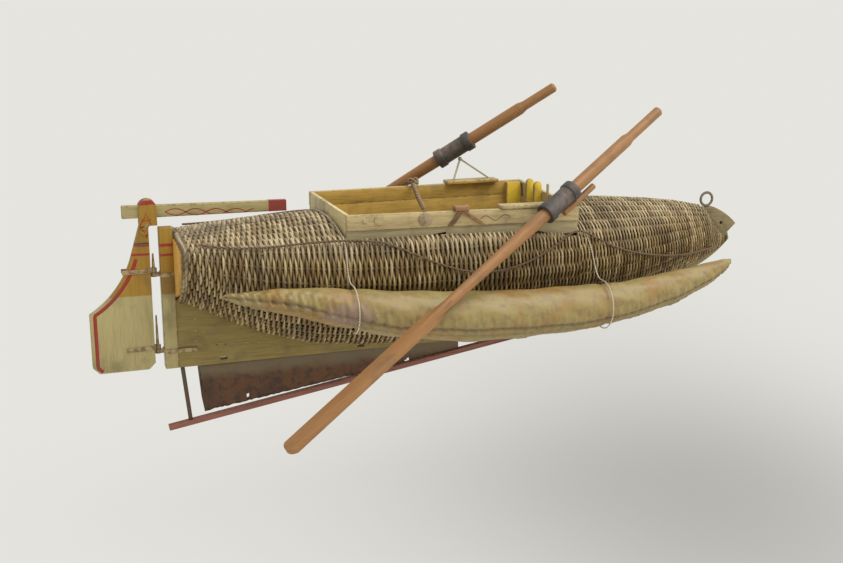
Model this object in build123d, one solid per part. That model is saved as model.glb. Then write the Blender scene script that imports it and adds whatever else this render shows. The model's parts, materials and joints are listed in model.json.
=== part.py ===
from build123d import *

import math
import os
from collections import namedtuple

# Model lifeboat with a basketwork hull, leather air floats, a drop keel and two oars.
# Frame: +X to the bow, +Y to port, +Z up, millimetres. The origin is on the centre plane,
# amidships, at the height of the painted waterline.

# Hull form: station, keel line, widest point, gunwale and deck crown
Station = namedtuple("Station", "x keel_z beam_half beam_z gunwale_half gunwale_z crown_z")
STATIONS = [
    Station(-240, -6, 47, 30, 51, 50, 55),
    Station(-205, -23, 63, 18, 60, 52, 58),
    Station(-165, -43, 74.5, 15, 68, 53, 61),
    Station(-115, -58, 82.5, 14, 74, 53, 64),
    Station(-60, -65, 87, 14, 77, 53, 65),
    Station(0, -67, 88.5, 14, 78, 52, 65),
    Station(60, -66, 87, 14, 76, 50, 64),
    Station(115, -63, 83, 14, 72, 48, 67),
    Station(165, -57.5, 77, 14, 66, 46, 66),
    Station(210, -48, 66, 15, 56.5, 44, 63.5),
    Station(250, -35, 52.5, 16, 44.5, 42, 60),
    Station(285, -21, 37, 17, 31, 40, 55.5),
    Station(315, -8, 20, 19, 17, 39, 49.5),
    Station(338, 2, 8, 13.5, 7, 17.5, 21),
    Station(348, 9.5, 5.2, 12.5, 5, 14.5, 16),
]
HULL_WALL = 6
BEAM_LIMIT = 120
FOOT_HALF = 4
FOOT_HALF_INNER = 2
BILGE_OUT = 0.73
BILGE_UP = 0.45
SHOULDER_OUT = 0.78
STAKES_PER_SIDE = 15
STAKE_RIDGE = 1.2
RIDGE_FULL_HALF = 20

# Backbone: deadwood, keel, stem and sternpost
KEEL_BOTTOM_Z = -72
KEEL_THICK = 9
POST_AFT_X = -256
POST_LENGTH = 12
POST_TOP_Z = 63
POST_THICK = 11
KEEL_SPLIT_X = -20
KEEL_SWEEP_X = 90
KEEL_SWEEP_MIDDLE = (206, -56)
KEEL_BURIED = ((300, -5), (206, -40), (-20, -55))
DEADWOOD_BURIED = ((-20, -50), (-240, 0))
DEADWOOD_SLOTS = ((-201, -67), (-65, -68))
DEADWOOD_SLOT_LENGTH = 7
DEADWOOD_SLOT_HEIGHT = 3
STEM_SPLIT_X = 300
STEM_FOOT_Z = -20
STEM_SWEEP = ((328, -7), (350.5, 12))
STEM_NOTCH = (348.5, 19.5)
STEM_TIP_X = 358
STEM_TIP_Z = 28.4
STEM_HEAD_MIDDLE = (345, 39.5)
STEM_TOP = (329, 48)
STEM_BACK = (316, 46)
STEM_EYE_R = 2
STEM_EYE_X = 340
STEM_EYE_Z = 30

# Transom
TRANSOM_THICK = 4
TRANSOM_RIM = 3

# Cockpit coaming
COCKPIT_AFT_X = -96
COCKPIT_LENGTH = 232
COCKPIT_FORE_X = COCKPIT_AFT_X + COCKPIT_LENGTH
COCKPIT_MIDDLE_X = COCKPIT_AFT_X + COCKPIT_LENGTH / 2
COAMING_HALF = 70
BOARD_THICK = 4
BOARD_LOW_Z = 38
RAIL_HEIGHT = 14
RAIL_PROUD = 2
RailTop = namedtuple("RailTop", "name side aft_z fore_z")
RAILS = [RailTop("port", 1, 76, 76.5), RailTop("starboard", -1, 76.5, 72)]
CUT_TOP_Z = 90

# Fittings on the coaming: cheeks, peg and knee at the fore board, bosses and lashings on the rails
CHEEK_YS = (27, 8)
CHEEK_LENGTH = 8
CHEEK_THICK = 4
CHEEK_LOW_Z = 52
CHEEK_TOP_Z = 84
PEG_Y = -10
PEG_R = 1.4
KNEE_LENGTH = 15
KNEE_THICK = 6
KNEE_DROP = 1
RAIL_BOSSES = ((-79, 2.3), (-66, 4.3))
BOSS_HEIGHT = 1.6
BOSS_LIFT = 2
THONG_X = 15
THONG_KNOT = 9
THONG_KNOT_LENGTH = 14.4
THONG_RISE = 1
THONG_FEET_XS = (3, 36)
THONG_WIDTH = 5.5
THONG_THICK = 1.5
LASHING_PORT_X = 14
LASHING_STARBOARD_X = -21
LASHING_CORD_R = 1.6
TAB_R = 6.5
TAB_THICK = 1.2
TAB_LIFT = 1

# Inside of the cockpit
FLOOR_TOP_Z = -44
FLOOR_THICK = 3
THWART_TOP_Z = 22
THWART_THICK = 4
THWART_WIDTH = 22
THWART_XS = (-62, 62)

# Rudder, its pins and tiller
PIN_X = -262
PIN_R = 1.5
PIN_CLEARANCE = 0.08
PIN_TIP_R = 0.7
EYE_WALL = 1.5
BOSS_WALL = 1.1
BLADE_FORE_X = -265
BLADE_WIDTH = 57
BLADE_AFT_X = BLADE_FORE_X - BLADE_WIDTH
BLADE_CURVE_LOW_Z = -15
BLADE_CURVE_MIDDLE = (0.54, 9)
BLADE_CURVE_TOP = (0.28, 40)
BLADE_BOTTOM_Z = -71
BLADE_THICK = 8
BLADE_CHAMFER = 6
HEAD_THICK = 12
HEAD_AFT_X = -273
HEAD_FORE_X = -257
HEAD_FOOT_Z = 66
HEAD_TOP_Z = 90
HEAD_ROUND = 6
STRAP_HEIGHT = 4
STRAP_THICK = 0.8
STRAP_LENGTH = 26
GUDGEON_LENGTH = 30
SEAT_GAP = 0.3
GUDGEON_ZS = (-55, 19)
PIN_TOPS = (-20, 39)
ROSETTE_R = 3.5
ROSETTE_HEIGHT = 1.4
ROSETTE_Z = 61
TILLER_AFT_X = -288
TILLER_LENGTH = 152
TILLER_Z = 79
TILLER_DROP = 2
TILLER_DEPTH = 12
TILLER_DEPTH_FORE = 10
TILLER_THICK = 6

# Drop keel: bar hinged under the keel, rod and leather web
BAR_PIVOT_X = 97
BAR_LENGTH = 357
BAR_DEPTH = 5
BAR_THICK = 6
BAR_GAP = 1.2
BAR_ANGLE = 9.1
ROD_FROM_TIP = 20
ROD_X = BAR_PIVOT_X - BAR_LENGTH + ROD_FROM_TIP
ROD_WELL_HALF = 6
ROD_WELL_TOP_Z = -17
ROD_SUNK = 2
ROD_R = 2
ROD_LEAN = 5.5
ROD_TOP_GAP = 1
WEB_THICK = 3
WEB_RAKE = 4
WEB_LOW_EDGE = ((-222, 4), (-150, 3), (-60, 1), (40, 0.4))
HINGE_PIN_R = 1.2
TONGUE_THICK = 2.6
TONGUE_REACH = 5
TONGUE_SLOT_DEEPER = 2
BLOCK_LENGTH = 12

# Air floats: station, axis and radius, starboard side; the port one mirrors it
FloatStation = namedtuple("FloatStation", "x y z r")
FLOAT_SIDES = 20
FLOAT_STATIONS = [
    FloatStation(-221, -70.3, 12, 1.5),
    FloatStation(-200, -80.3, 10, 7),
    FloatStation(-165, -91.3, 8, 13),
    FloatStation(-120, -99.3, 1, 18.3),
    FloatStation(-65, -104.8, -9, 22.8),
    FloatStation(0, -107.3, -17, 24.8),
    FloatStation(65, -106.3, -20, 24.3),
    FloatStation(125, -101.8, -21, 22.8),
    FloatStation(180, -94.3, -20, 20.3),
    FloatStation(235, -83.8, -15, 17.5),
    FloatStation(285, -72.3, -6, 12.5),
    FloatStation(309, -66.3, 0, 8),
    FloatStation(321, -62.3, 2.5, 1.5),
]

# Oars: sleeve centre, direction to the grip, side where the sleeve is seated,
# lengths from the sleeve and length of the grip
OarPose = namedtuple("OarPose", "name centre toward seat grip_side blade_side grip_length")
OARS = [
    OarPose("starboard", (108, -86, 80), (0.82, 0.311, 0.48), (0, 0.94, -0.34), 160, 356, 49),
    OarPose("port", (64, 80, 110), (0.75, -0.38, 0.545), (0, 0, -1), 124, 376, 37),
]
GRIP_R = 4.9
GRIP_CHAMFER = 2
SHOULDER_LENGTH = 6
LOOM_R = 6.3
NECK_R = 4.7
BLADE_LENGTH = 205
BLADE_HALF = 8.5
BLADE_NECK_HALF = 3
BLADE_SHOULDER = 32
BLADE_END_R = 5
BLADE_HALF_THICK = 2.5
SPINE_REACH = 113
SPINE_TIP_R = 1.5
SLEEVE_LENGTH = 28
SLEEVE_WALL = 2.2
SLEEVE_GAP = 0.3
COLLAR_LENGTH = 8
COLLAR_WALL = 3.4
KNOT_R = 2.2
SPLINT_SIDE = (0.658, 0.24, -0.711)
SPLINT_R = 3
SPLINT_LENGTH = 46

# Thole boards on the rails and the stiff lashing that holds the port sleeve above its board
THOLE_THICK = 3.5
THOLE_INNER = 60
THOLE_STARBOARD_XS = (55, 124)
THOLE_PORT_XS = (50, 107)
THOLE_PORT_OUTER = 76
LASHING_R = 1
LASHING_TRIM = 9
LASHING_FEET = ((60, 70), (99, 70))

# Bow ring and its shank
RING_X = 323
RING_SEAT_Z = 47.2
RING_R = 7
RING_WIRE_R = 1.5

# Cords, as points from the stern forward on the port side, and from the deck outward
CORD_SIDES = 6
CORD_CORNER_SHARE = 0.45
LIFELINE_R = 1
LIFELINE = [
    (-227, 50.1, 54.6),
    (-204, 63.2, 52.1),
    (-171, 70.2, 52.1),
    (-137, 73.9, 54.6),
    (-98, 79.1, 55.9),
    (-72, 79.6, 53.3),
    (-56, 82.4, 49.2),
    (-26, 88.6, 35),
    (8, 91, 21.5),
    (39, 90.5, 18),
    (65, 89.6, 21.2),
    (99, 84.7, 31.9),
    (133, 72.2, 50.7),
    (151, 77.1, 42),
    (176, 75.5, 28.5),
    (208, 69.7, 18.9),
    (244, 56.9, 11.3),
    (279, 40.6, 7.1),
    (303, 27.4, 6.7),
    (326, 15.5, 6),
]
TIE_R = 0.6
TIES = {
    "aft": [
        (-99.5, 0, 66.7),
        (-99.5, 25.5, 65.4),
        (-99.5, 50.8, 61.6),
        (-99.5, 76.1, 55),
        (-99.5, 82.2, 41.3),
        (-99.5, 85.3, 27.8),
        (-99.5, 92.1, 19),
        (-99.5, 110, 19),
        (-99.5, 122.7, 6.3),
        (-99.5, 122.7, -11.7),
        (-99.5, 110, -24.4),
        (-99.5, 92.1, -24.4),
        (-99.5, 71.8, -18),
    ],
    "fore": [
        (143, 0, 68.9),
        (143, 23.9, 66.7),
        (143, 47.2, 60.1),
        (143.5, 70, 48.9),
        (145.5, 76.7, 37.8),
        (148, 80.2, 26.1),
        (150, 81.3, 14.5),
        (151, 88.3, 2.8),
        (151, 107.6, 2.8),
        (151, 121.2, -10.9),
        (151, 121.2, -30.1),
        (151, 107.6, -43.8),
        (151, 88.3, -43.8),
        (151, 53, -35.2),
    ],
}

NODES = {}


def add(name, shape):
    NODES[name] = shape


def yz_plane(x):
    return Plane(origin=(x, 0, 0), x_dir=(0, 1, 0), z_dir=(1, 0, 0))


def xz_plate(lines, thick):
    """A plate of the given outline in the XZ plane, centred on the centre plane."""
    lines = lines if isinstance(lines, list) else [lines]
    edges = [edge for line in lines for edge in line.edges()]
    face = Plane.XZ * make_face(edges)
    return extrude(face, amount=thick / 2, both=True)


def box_between(low, high):
    size = [b - a for a, b in zip(low, high)]
    middle = [(a + b) / 2 for a, b in zip(low, high)]
    return Pos(*middle) * Box(*size)


def hull_section(station, wall, foot, ridge, steps):
    """Closed many-sided section of the hull, with a ridge at every second corner where ridge isn't 0."""
    keel = station.keel_z + wall
    beam = station.beam_half - wall
    gunwale = station.gunwale_half - wall
    gunwale_z = station.gunwale_z - wall
    crown = station.crown_z - wall
    bilge = (foot + (beam - foot) * BILGE_OUT, keel + (station.beam_z - keel) * BILGE_UP)
    shoulder = (gunwale + (beam - gunwale) * SHOULDER_OUT, (station.beam_z + gunwale_z) / 2)
    deck = ThreePointArc((-gunwale, gunwale_z), (0, crown), (gunwale, gunwale_z))
    half = Wire([
        deck.trim(0.5, 1),
        ThreePointArc((gunwale, gunwale_z), shoulder, (beam, station.beam_z)),
        ThreePointArc((beam, station.beam_z), bilge, (foot, keel)),
    ])
    corners = []
    for number in range(steps + 1):
        along = half.tangent_at(number / steps)
        height = ridge if number % 2 else 0
        corners.append(half.position_at(number / steps) + Vector(-along.Y, along.X) * height)
    port = [(corner.X, corner.Y) for corner in corners]
    starboard = [(-y, z) for y, z in reversed(port[1:])]
    return yz_plane(station.x) * make_face(Polyline(*port, *starboard, close=True))


def hull_outer():
    sections = []
    for station in STATIONS:
        ridge = STAKE_RIDGE * min(1, station.beam_half / RIDGE_FULL_HALF)
        sections.append(hull_section(station, 0, FOOT_HALF, ridge, 2 * STAKES_PER_SIDE))
    return loft(sections, ruled=True)


def hull_hollow():
    """The open inside of the hull, which reaches from one end board of the cockpit to the other."""
    inner = [s for s in STATIONS if abs(s.x - COCKPIT_MIDDLE_X) < COCKPIT_LENGTH]
    sections = [hull_section(station, HULL_WALL, FOOT_HALF_INNER, 0, STAKES_PER_SIDE) for station in inner]
    body = loft(sections, ruled=True)
    reach = BEAM_LIMIT
    return body & box_between((COCKPIT_AFT_X, -reach, -reach), (COCKPIT_FORE_X, reach, reach))


def make_hull(outer, hollow):
    cockpit = box_between((COCKPIT_AFT_X, -COAMING_HALF, 0), (COCKPIT_FORE_X, COAMING_HALF, CUT_TOP_Z))
    add("hull_basket", outer - hollow - cockpit)


def make_backbone(outer):
    post_fore = POST_AFT_X + POST_LENGTH
    post = box_between((POST_AFT_X, -POST_THICK / 2, KEEL_BOTTOM_Z), (post_fore, POST_THICK / 2, POST_TOP_Z))
    add("sternpost", post)

    stern = STATIONS[0]
    outline = Polyline(
        (post_fore, KEEL_BOTTOM_Z),
        (KEEL_SPLIT_X, KEEL_BOTTOM_Z),
        *DEADWOOD_BURIED,
        (stern.x, stern.keel_z),
        (post_fore, stern.keel_z),
        close=True,
    )
    deadwood = xz_plate(outline, KEEL_THICK) - outer
    well_low = (ROD_X - ROD_WELL_HALF, -ROD_R - ROD_TOP_GAP, KEEL_BOTTOM_Z)
    deadwood -= box_between(well_low, (ROD_X + ROD_WELL_HALF, ROD_R + ROD_TOP_GAP, ROD_WELL_TOP_Z))
    for x, z in DEADWOOD_SLOTS:
        deadwood -= Pos(x, 0, z) * Box(DEADWOOD_SLOT_LENGTH, KEEL_THICK, DEADWOOD_SLOT_HEIGHT)
    add("deadwood", deadwood)

    stem_foot = (STEM_SPLIT_X, STEM_FOOT_Z)
    keel = [
        Line((KEEL_SPLIT_X, KEEL_BOTTOM_Z), (KEEL_SWEEP_X, KEEL_BOTTOM_Z)),
        ThreePointArc((KEEL_SWEEP_X, KEEL_BOTTOM_Z), KEEL_SWEEP_MIDDLE, stem_foot),
        Polyline(stem_foot, *KEEL_BURIED, (KEEL_SPLIT_X, KEEL_BOTTOM_Z)),
    ]
    add("keel", xz_plate(keel, KEEL_THICK) - outer)

    stem_tip = (STEM_TIP_X, STEM_TIP_Z)
    stem = [
        ThreePointArc(stem_foot, *STEM_SWEEP),
        Polyline(STEM_SWEEP[-1], STEM_NOTCH, stem_tip),
        ThreePointArc(stem_tip, STEM_HEAD_MIDDLE, STEM_TOP),
        Polyline(STEM_TOP, STEM_BACK, KEEL_BURIED[0], stem_foot),
    ]
    eye = Pos(STEM_EYE_X, 0, STEM_EYE_Z) * Rot(90, 0, 0) * Cylinder(STEM_EYE_R, KEEL_THICK * 2)
    add("stem", xz_plate(stem, KEEL_THICK) - outer - eye)


def make_stern():
    stern = STATIONS[0]
    board = hull_section(stern, TRANSOM_RIM, FOOT_HALF_INNER, 0, STAKES_PER_SIDE)
    add("transom_board", extrude(board, amount=-TRANSOM_THICK))


def rail_top(rail, x):
    """Height of a rail's top at a station; the rails run straight from end to end."""
    share = (x - COCKPIT_AFT_X) / COCKPIT_LENGTH
    return rail.aft_z + (rail.fore_z - rail.aft_z) * share


def side_plank(rail, aft, fore, low, high, inner, outer):
    """A plank along one side whose lower and upper edges follow heights given by two functions."""
    edges = Polyline((aft, low(aft)), (fore, low(fore)), (fore, high(fore)), (aft, high(aft)), close=True)
    plank = xz_plate(edges, abs(outer - inner))
    return Pos(0, rail.side * (inner + outer) / 2, 0) * plank


def make_coaming():
    inner = COAMING_HALF - BOARD_THICK
    for rail in RAILS:
        top = lambda x: rail_top(rail, x)
        seam = lambda x: rail_top(rail, x) - RAIL_HEIGHT
        low = lambda x: BOARD_LOW_Z
        ends = (COCKPIT_AFT_X, COCKPIT_FORE_X)
        add(f"coaming_board_{rail.name}", side_plank(rail, *ends, low, seam, inner, COAMING_HALF))
        plank = side_plank(rail, *ends, seam, top, inner, COAMING_HALF + RAIL_PROUD)
        add(f"coaming_rail_{rail.name}", plank + rail_bosses(rail))
    add("coaming_board_aft", end_board(COCKPIT_AFT_X))
    aft_face = COCKPIT_FORE_X - BOARD_THICK
    add("coaming_board_fore", end_board(aft_face) + fore_fittings(aft_face))


def end_board(x):
    """Board across one end of the cockpit, between the side boards."""
    inner = COAMING_HALF - BOARD_THICK
    port_z, starboard_z = [rail_top(rail, x + BOARD_THICK / 2) for rail in RAILS]
    corners = ((-inner, BOARD_LOW_Z), (inner, BOARD_LOW_Z), (inner, port_z), (-inner, starboard_z))
    return extrude(yz_plane(x) * make_face(Polyline(*corners, close=True)), amount=BOARD_THICK)


def rail_bosses(rail):
    """Round bosses near the after end of a rail's outer face."""
    middle_y = rail.side * (COAMING_HALF + RAIL_PROUD + BOSS_HEIGHT / 2)
    bosses = Part()
    for x, radius in RAIL_BOSSES:
        z = rail_top(rail, x) - RAIL_HEIGHT / 2 + BOSS_LIFT
        bosses += Pos(x, middle_y, z) * Rot(90, 0, 0) * Cylinder(radius, BOSS_HEIGHT)
    return bosses


def fore_fittings(aft_face):
    """Two round-topped cheeks, a peg and a corner knee on the after face of the fore board."""
    half = CHEEK_LENGTH / 2
    middle = aft_face - half
    shoulder = CHEEK_TOP_Z - half
    outline = [
        Polyline(
            (aft_face, shoulder),
            (aft_face, CHEEK_LOW_Z),
            (middle - half, CHEEK_LOW_Z),
            (middle - half, shoulder),
        ),
        ThreePointArc((middle - half, shoulder), (middle, CHEEK_TOP_Z), (aft_face, shoulder)),
    ]
    fittings = Part()
    for y in CHEEK_YS:
        fittings += Pos(0, y, 0) * xz_plate(outline, CHEEK_THICK)
    peg_middle = (CHEEK_TOP_Z + CHEEK_LOW_Z) / 2
    fittings += Pos(aft_face - PEG_R / 2, PEG_Y, peg_middle) * Cylinder(PEG_R, CHEEK_TOP_Z - CHEEK_LOW_Z)
    inner = COAMING_HALF - BOARD_THICK
    knee_top = rail_top(RAILS[0], aft_face) - KNEE_DROP
    knee_low = (aft_face - KNEE_LENGTH, inner - KNEE_THICK, BOARD_LOW_Z)
    fittings += box_between(knee_low, (aft_face, inner, knee_top))
    return fittings


def make_lashings():
    """The thong tied round the starboard rail, the tab of the cross lashing and the lashing itself."""
    rail = RAILS[1]
    face_y = rail.side * (COAMING_HALF + RAIL_PROUD + SEAT_GAP)
    top = rail_top(rail, THONG_X) + SEAT_GAP
    knot = Box(THONG_KNOT_LENGTH, THONG_KNOT, THONG_KNOT / 2)
    thong = Pos(THONG_X, face_y + THONG_KNOT / 4, top + THONG_KNOT / 4) * knot
    for foot_x in THONG_FEET_XS:
        leg = Polyline(
            (THONG_X - THONG_WIDTH / 2, top + THONG_RISE),
            (foot_x - THONG_WIDTH / 2, top - RAIL_HEIGHT),
            (foot_x + THONG_WIDTH / 2, top - RAIL_HEIGHT),
            (THONG_X + THONG_WIDTH / 2, top + THONG_RISE),
            close=True,
        )
        thong += Pos(0, face_y - THONG_THICK / 2, 0) * xz_plate(leg, THONG_THICK)
    add("rail_thong", thong)

    port, starboard = RAILS
    start = Vector(LASHING_PORT_X, COAMING_HALF, rail_top(port, LASHING_PORT_X) + LASHING_CORD_R + SEAT_GAP)
    end_z = rail_top(starboard, LASHING_STARBOARD_X) + LASHING_CORD_R + SEAT_GAP
    end = Vector(LASHING_STARBOARD_X, -COAMING_HALF, end_z)
    run = end - start
    cord = Plane(origin=start + run * 0.5, z_dir=run) * Cylinder(LASHING_CORD_R, run.length)
    add("rope_cross_lashing", cord)
    tab_z = rail_top(starboard, LASHING_STARBOARD_X) - RAIL_HEIGHT / 2
    tab = Rot(90, 0, 0) * Cylinder(TAB_R, TAB_THICK)
    face_y = -(COAMING_HALF + RAIL_PROUD) - TAB_THICK / 2
    add("lashing_tab", Pos(LASHING_STARBOARD_X, face_y, tab_z + TAB_LIFT) * tab)


def make_inside(hollow):
    wide = COAMING_HALF * 2
    floor_low = FLOOR_TOP_Z - FLOOR_THICK
    floor = box_between((COCKPIT_AFT_X, -wide, floor_low), (COCKPIT_FORE_X, wide, FLOOR_TOP_Z))
    add("floor_boards", floor & hollow)
    for number, x in enumerate(THWART_XS, 1):
        low = (x - THWART_WIDTH / 2, -wide, THWART_TOP_Z - THWART_THICK)
        high = (x + THWART_WIDTH / 2, wide, THWART_TOP_Z)
        add(f"thwart_{number}", box_between(low, high) & hollow)


def tiller_shape():
    fore = TILLER_AFT_X + TILLER_LENGTH
    edges = Polyline(
        (TILLER_AFT_X, TILLER_Z - TILLER_DEPTH / 2),
        (fore, TILLER_Z - TILLER_DROP - TILLER_DEPTH_FORE / 2),
        (fore, TILLER_Z - TILLER_DROP + TILLER_DEPTH_FORE / 2),
        (TILLER_AFT_X, TILLER_Z + TILLER_DEPTH / 2),
        close=True,
    )
    return xz_plate(edges, TILLER_THICK)


def make_rudder():
    curve_low = (BLADE_AFT_X, BLADE_CURVE_LOW_Z)
    curve_middle, curve_top = [
        (BLADE_FORE_X - share * BLADE_WIDTH, z) for share, z in (BLADE_CURVE_MIDDLE, BLADE_CURVE_TOP)
    ]
    blade_edges = [
        Line((BLADE_FORE_X, BLADE_BOTTOM_Z + BLADE_CHAMFER), (BLADE_FORE_X - BLADE_CHAMFER, BLADE_BOTTOM_Z)),
        Line((BLADE_FORE_X - BLADE_CHAMFER, BLADE_BOTTOM_Z), (BLADE_AFT_X + BLADE_CHAMFER, BLADE_BOTTOM_Z)),
        Line((BLADE_AFT_X + BLADE_CHAMFER, BLADE_BOTTOM_Z), (BLADE_AFT_X, BLADE_BOTTOM_Z + BLADE_CHAMFER)),
        Line((BLADE_AFT_X, BLADE_BOTTOM_Z + BLADE_CHAMFER), curve_low),
        ThreePointArc(curve_low, curve_middle, curve_top),
        Line(curve_top, (HEAD_AFT_X, HEAD_FOOT_Z)),
        Line((HEAD_AFT_X, HEAD_FOOT_Z), (BLADE_FORE_X, HEAD_FOOT_Z)),
        Line((BLADE_FORE_X, HEAD_FOOT_Z), (BLADE_FORE_X, BLADE_BOTTOM_Z + BLADE_CHAMFER)),
    ]
    head_mid = (HEAD_AFT_X + HEAD_FORE_X) / 2
    shoulder = HEAD_TOP_Z - HEAD_ROUND
    head_edges = [
        Line((HEAD_AFT_X, HEAD_FOOT_Z), (HEAD_FORE_X, HEAD_FOOT_Z)),
        Line((HEAD_FORE_X, HEAD_FOOT_Z), (HEAD_FORE_X, shoulder)),
        ThreePointArc((HEAD_FORE_X, shoulder), (head_mid, HEAD_TOP_Z), (HEAD_AFT_X, shoulder)),
        Line((HEAD_AFT_X, shoulder), (HEAD_AFT_X, HEAD_FOOT_Z)),
    ]
    tiller = tiller_shape()
    blade = xz_plate(blade_edges, BLADE_THICK)
    head = xz_plate(head_edges, HEAD_THICK)
    rudder = blade + head - tiller
    middle_x = (HEAD_AFT_X + BLADE_FORE_X) / 2
    for side in (1, -1):
        middle_y = side * (BLADE_THICK + ROSETTE_HEIGHT) / 2
        rudder += Pos(middle_x, middle_y, ROSETTE_Z) * Rot(90, 0, 0) * Cylinder(ROSETTE_R, ROSETTE_HEIGHT)
    add("rudder", rudder)
    add("tiller", tiller)


def make_rudder_irons():
    eye_r = PIN_R + EYE_WALL
    boss_r = PIN_R + BOSS_WALL
    for name, z, pin_top in zip(("lower", "upper"), GUDGEON_ZS, PIN_TOPS):
        half = STRAP_HEIGHT / 2
        post_half = POST_THICK / 2
        fore = POST_AFT_X + (GUDGEON_LENGTH if name == "lower" else POST_LENGTH)
        outer_y = post_half + STRAP_THICK
        wrap = box_between((POST_AFT_X - STRAP_THICK, -outer_y, z - half), (fore, outer_y, z + half))
        wrap -= box_between((POST_AFT_X, -post_half, z - half), (fore, post_half, z + half))
        neck = box_between((PIN_X, -PIN_R, z - half), (POST_AFT_X - STRAP_THICK, PIN_R, z + half))
        boss = Pos(PIN_X, 0, z) * Cylinder(boss_r, STRAP_HEIGHT)
        eye_top = z + half + SEAT_GAP + STRAP_HEIGHT
        pin = Pos(PIN_X, 0, (z + eye_top) / 2) * Cylinder(PIN_R, eye_top - z)
        spike = Pos(PIN_X, 0, (eye_top + pin_top) / 2) * Cone(PIN_R, PIN_TIP_R, pin_top - eye_top)
        add(f"gudgeon_{name}", wrap + neck + boss + pin + spike)

        low, high = eye_top - STRAP_HEIGHT, eye_top
        blade_half = BLADE_THICK / 2
        side_y = blade_half + STRAP_THICK
        aft = BLADE_FORE_X - STRAP_LENGTH
        strap = box_between((aft, -side_y, low), (BLADE_FORE_X, side_y, high))
        strap -= box_between((aft, -blade_half, low), (BLADE_FORE_X, blade_half, high))
        bridge = box_between((BLADE_FORE_X, -side_y, low), (BLADE_FORE_X + STRAP_THICK, side_y, high))
        eye = Pos(PIN_X, 0, (low + high) / 2) * Cylinder(eye_r, STRAP_HEIGHT)
        eye -= box_between((BLADE_FORE_X - eye_r, -eye_r, low), (BLADE_FORE_X, eye_r, high))
        bore = Pos(PIN_X, 0, (low + high) / 2) * Cylinder(PIN_R + PIN_CLEARANCE, STRAP_HEIGHT)
        add(f"rudder_strap_{name}", strap + bridge + eye - bore)


def drop_turn(shape):
    """Turn a shape drawn level under the keel to the angle of the lowered bar."""
    pivot_z = KEEL_BOTTOM_Z - BAR_GAP - BAR_DEPTH / 2
    return Pos(BAR_PIVOT_X, 0, pivot_z) * Rot(0, -BAR_ANGLE, 0) * shape


def make_drop_keel():
    """Bar hung under the keel on a pin, its aft rod and the sheet that closes the gap above it."""
    half_y = BAR_THICK / 2
    half_z = BAR_DEPTH / 2
    slope = math.tan(math.radians(BAR_ANGLE))
    pivot_z = KEEL_BOTTOM_Z - BAR_GAP - half_z

    def bar_top(x):
        return pivot_z + half_z / math.cos(math.radians(BAR_ANGLE)) - (BAR_PIVOT_X - x) * slope

    pin_bore = Rot(90, 0, 0) * Cylinder(HINGE_PIN_R + PIN_CLEARANCE, BAR_THICK)
    slot_half = TONGUE_THICK / 2 + PIN_CLEARANCE
    bar = box_between((-BAR_LENGTH, -half_y, -half_z), (TONGUE_REACH, half_y, half_z))
    slot_aft = -TONGUE_REACH - TONGUE_SLOT_DEEPER
    bar -= box_between((slot_aft, -slot_half, -half_z), (TONGUE_REACH, slot_half, half_z))
    bar = drop_turn(bar - pin_bore)
    rod_foot = Vector(ROD_X + ROD_LEAN, 0, bar_top(ROD_X + ROD_LEAN) - ROD_SUNK)
    rod_run = Vector(ROD_X, 0, KEEL_BOTTOM_Z - ROD_TOP_GAP) - rod_foot
    rod = Plane(origin=rod_foot + rod_run * 0.5, z_dir=rod_run) * Cylinder(ROD_R, rod_run.length)
    add("drop_rod", rod)
    add("drop_bar", bar - rod)

    top = KEEL_BOTTOM_Z - SEAT_GAP
    low_edge = [(x, bar_top(x) + gap) for x, gap in WEB_LOW_EDGE]
    web = Polyline((low_edge[0][0] - WEB_RAKE, top), *low_edge, (low_edge[-1][0], top), close=True)
    add("drop_web", xz_plate(web, WEB_THICK))

    block_aft = BAR_PIVOT_X + TONGUE_REACH + BAR_GAP
    block_z = KEEL_BOTTOM_Z - BAR_DEPTH - BAR_GAP
    block = box_between((block_aft, -half_y, block_z), (block_aft + BLOCK_LENGTH, half_y, KEEL_BOTTOM_Z))
    tongue_half = TONGUE_THICK / 2
    tongue_z = half_z - SEAT_GAP
    tongue_low = (BAR_PIVOT_X - TONGUE_REACH, -tongue_half, pivot_z - tongue_z)
    tongue = box_between(tongue_low, (block_aft, tongue_half, pivot_z + tongue_z))
    pin = Pos(BAR_PIVOT_X, 0, pivot_z) * Rot(90, 0, 0) * Cylinder(HINGE_PIN_R, BAR_THICK)
    add("drop_hinge_block", block + tongue - pin)
    add("drop_hinge_pin", pin)


def make_floats():
    for name, side in (("starboard", 1), ("port", -1)):
        sections = []
        for station in FLOAT_STATIONS:
            middle = Pos(station.y * side, station.z)
            sections.append(yz_plane(station.x) * middle * RegularPolygon(station.r, FLOAT_SIDES))
        add(f"float_{name}", loft(sections, ruled=True))


def oar_plane(pose):
    return Plane(origin=pose.centre, x_dir=Vector(0, 0, 1).cross(Vector(*pose.toward)), z_dir=pose.toward)


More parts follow.
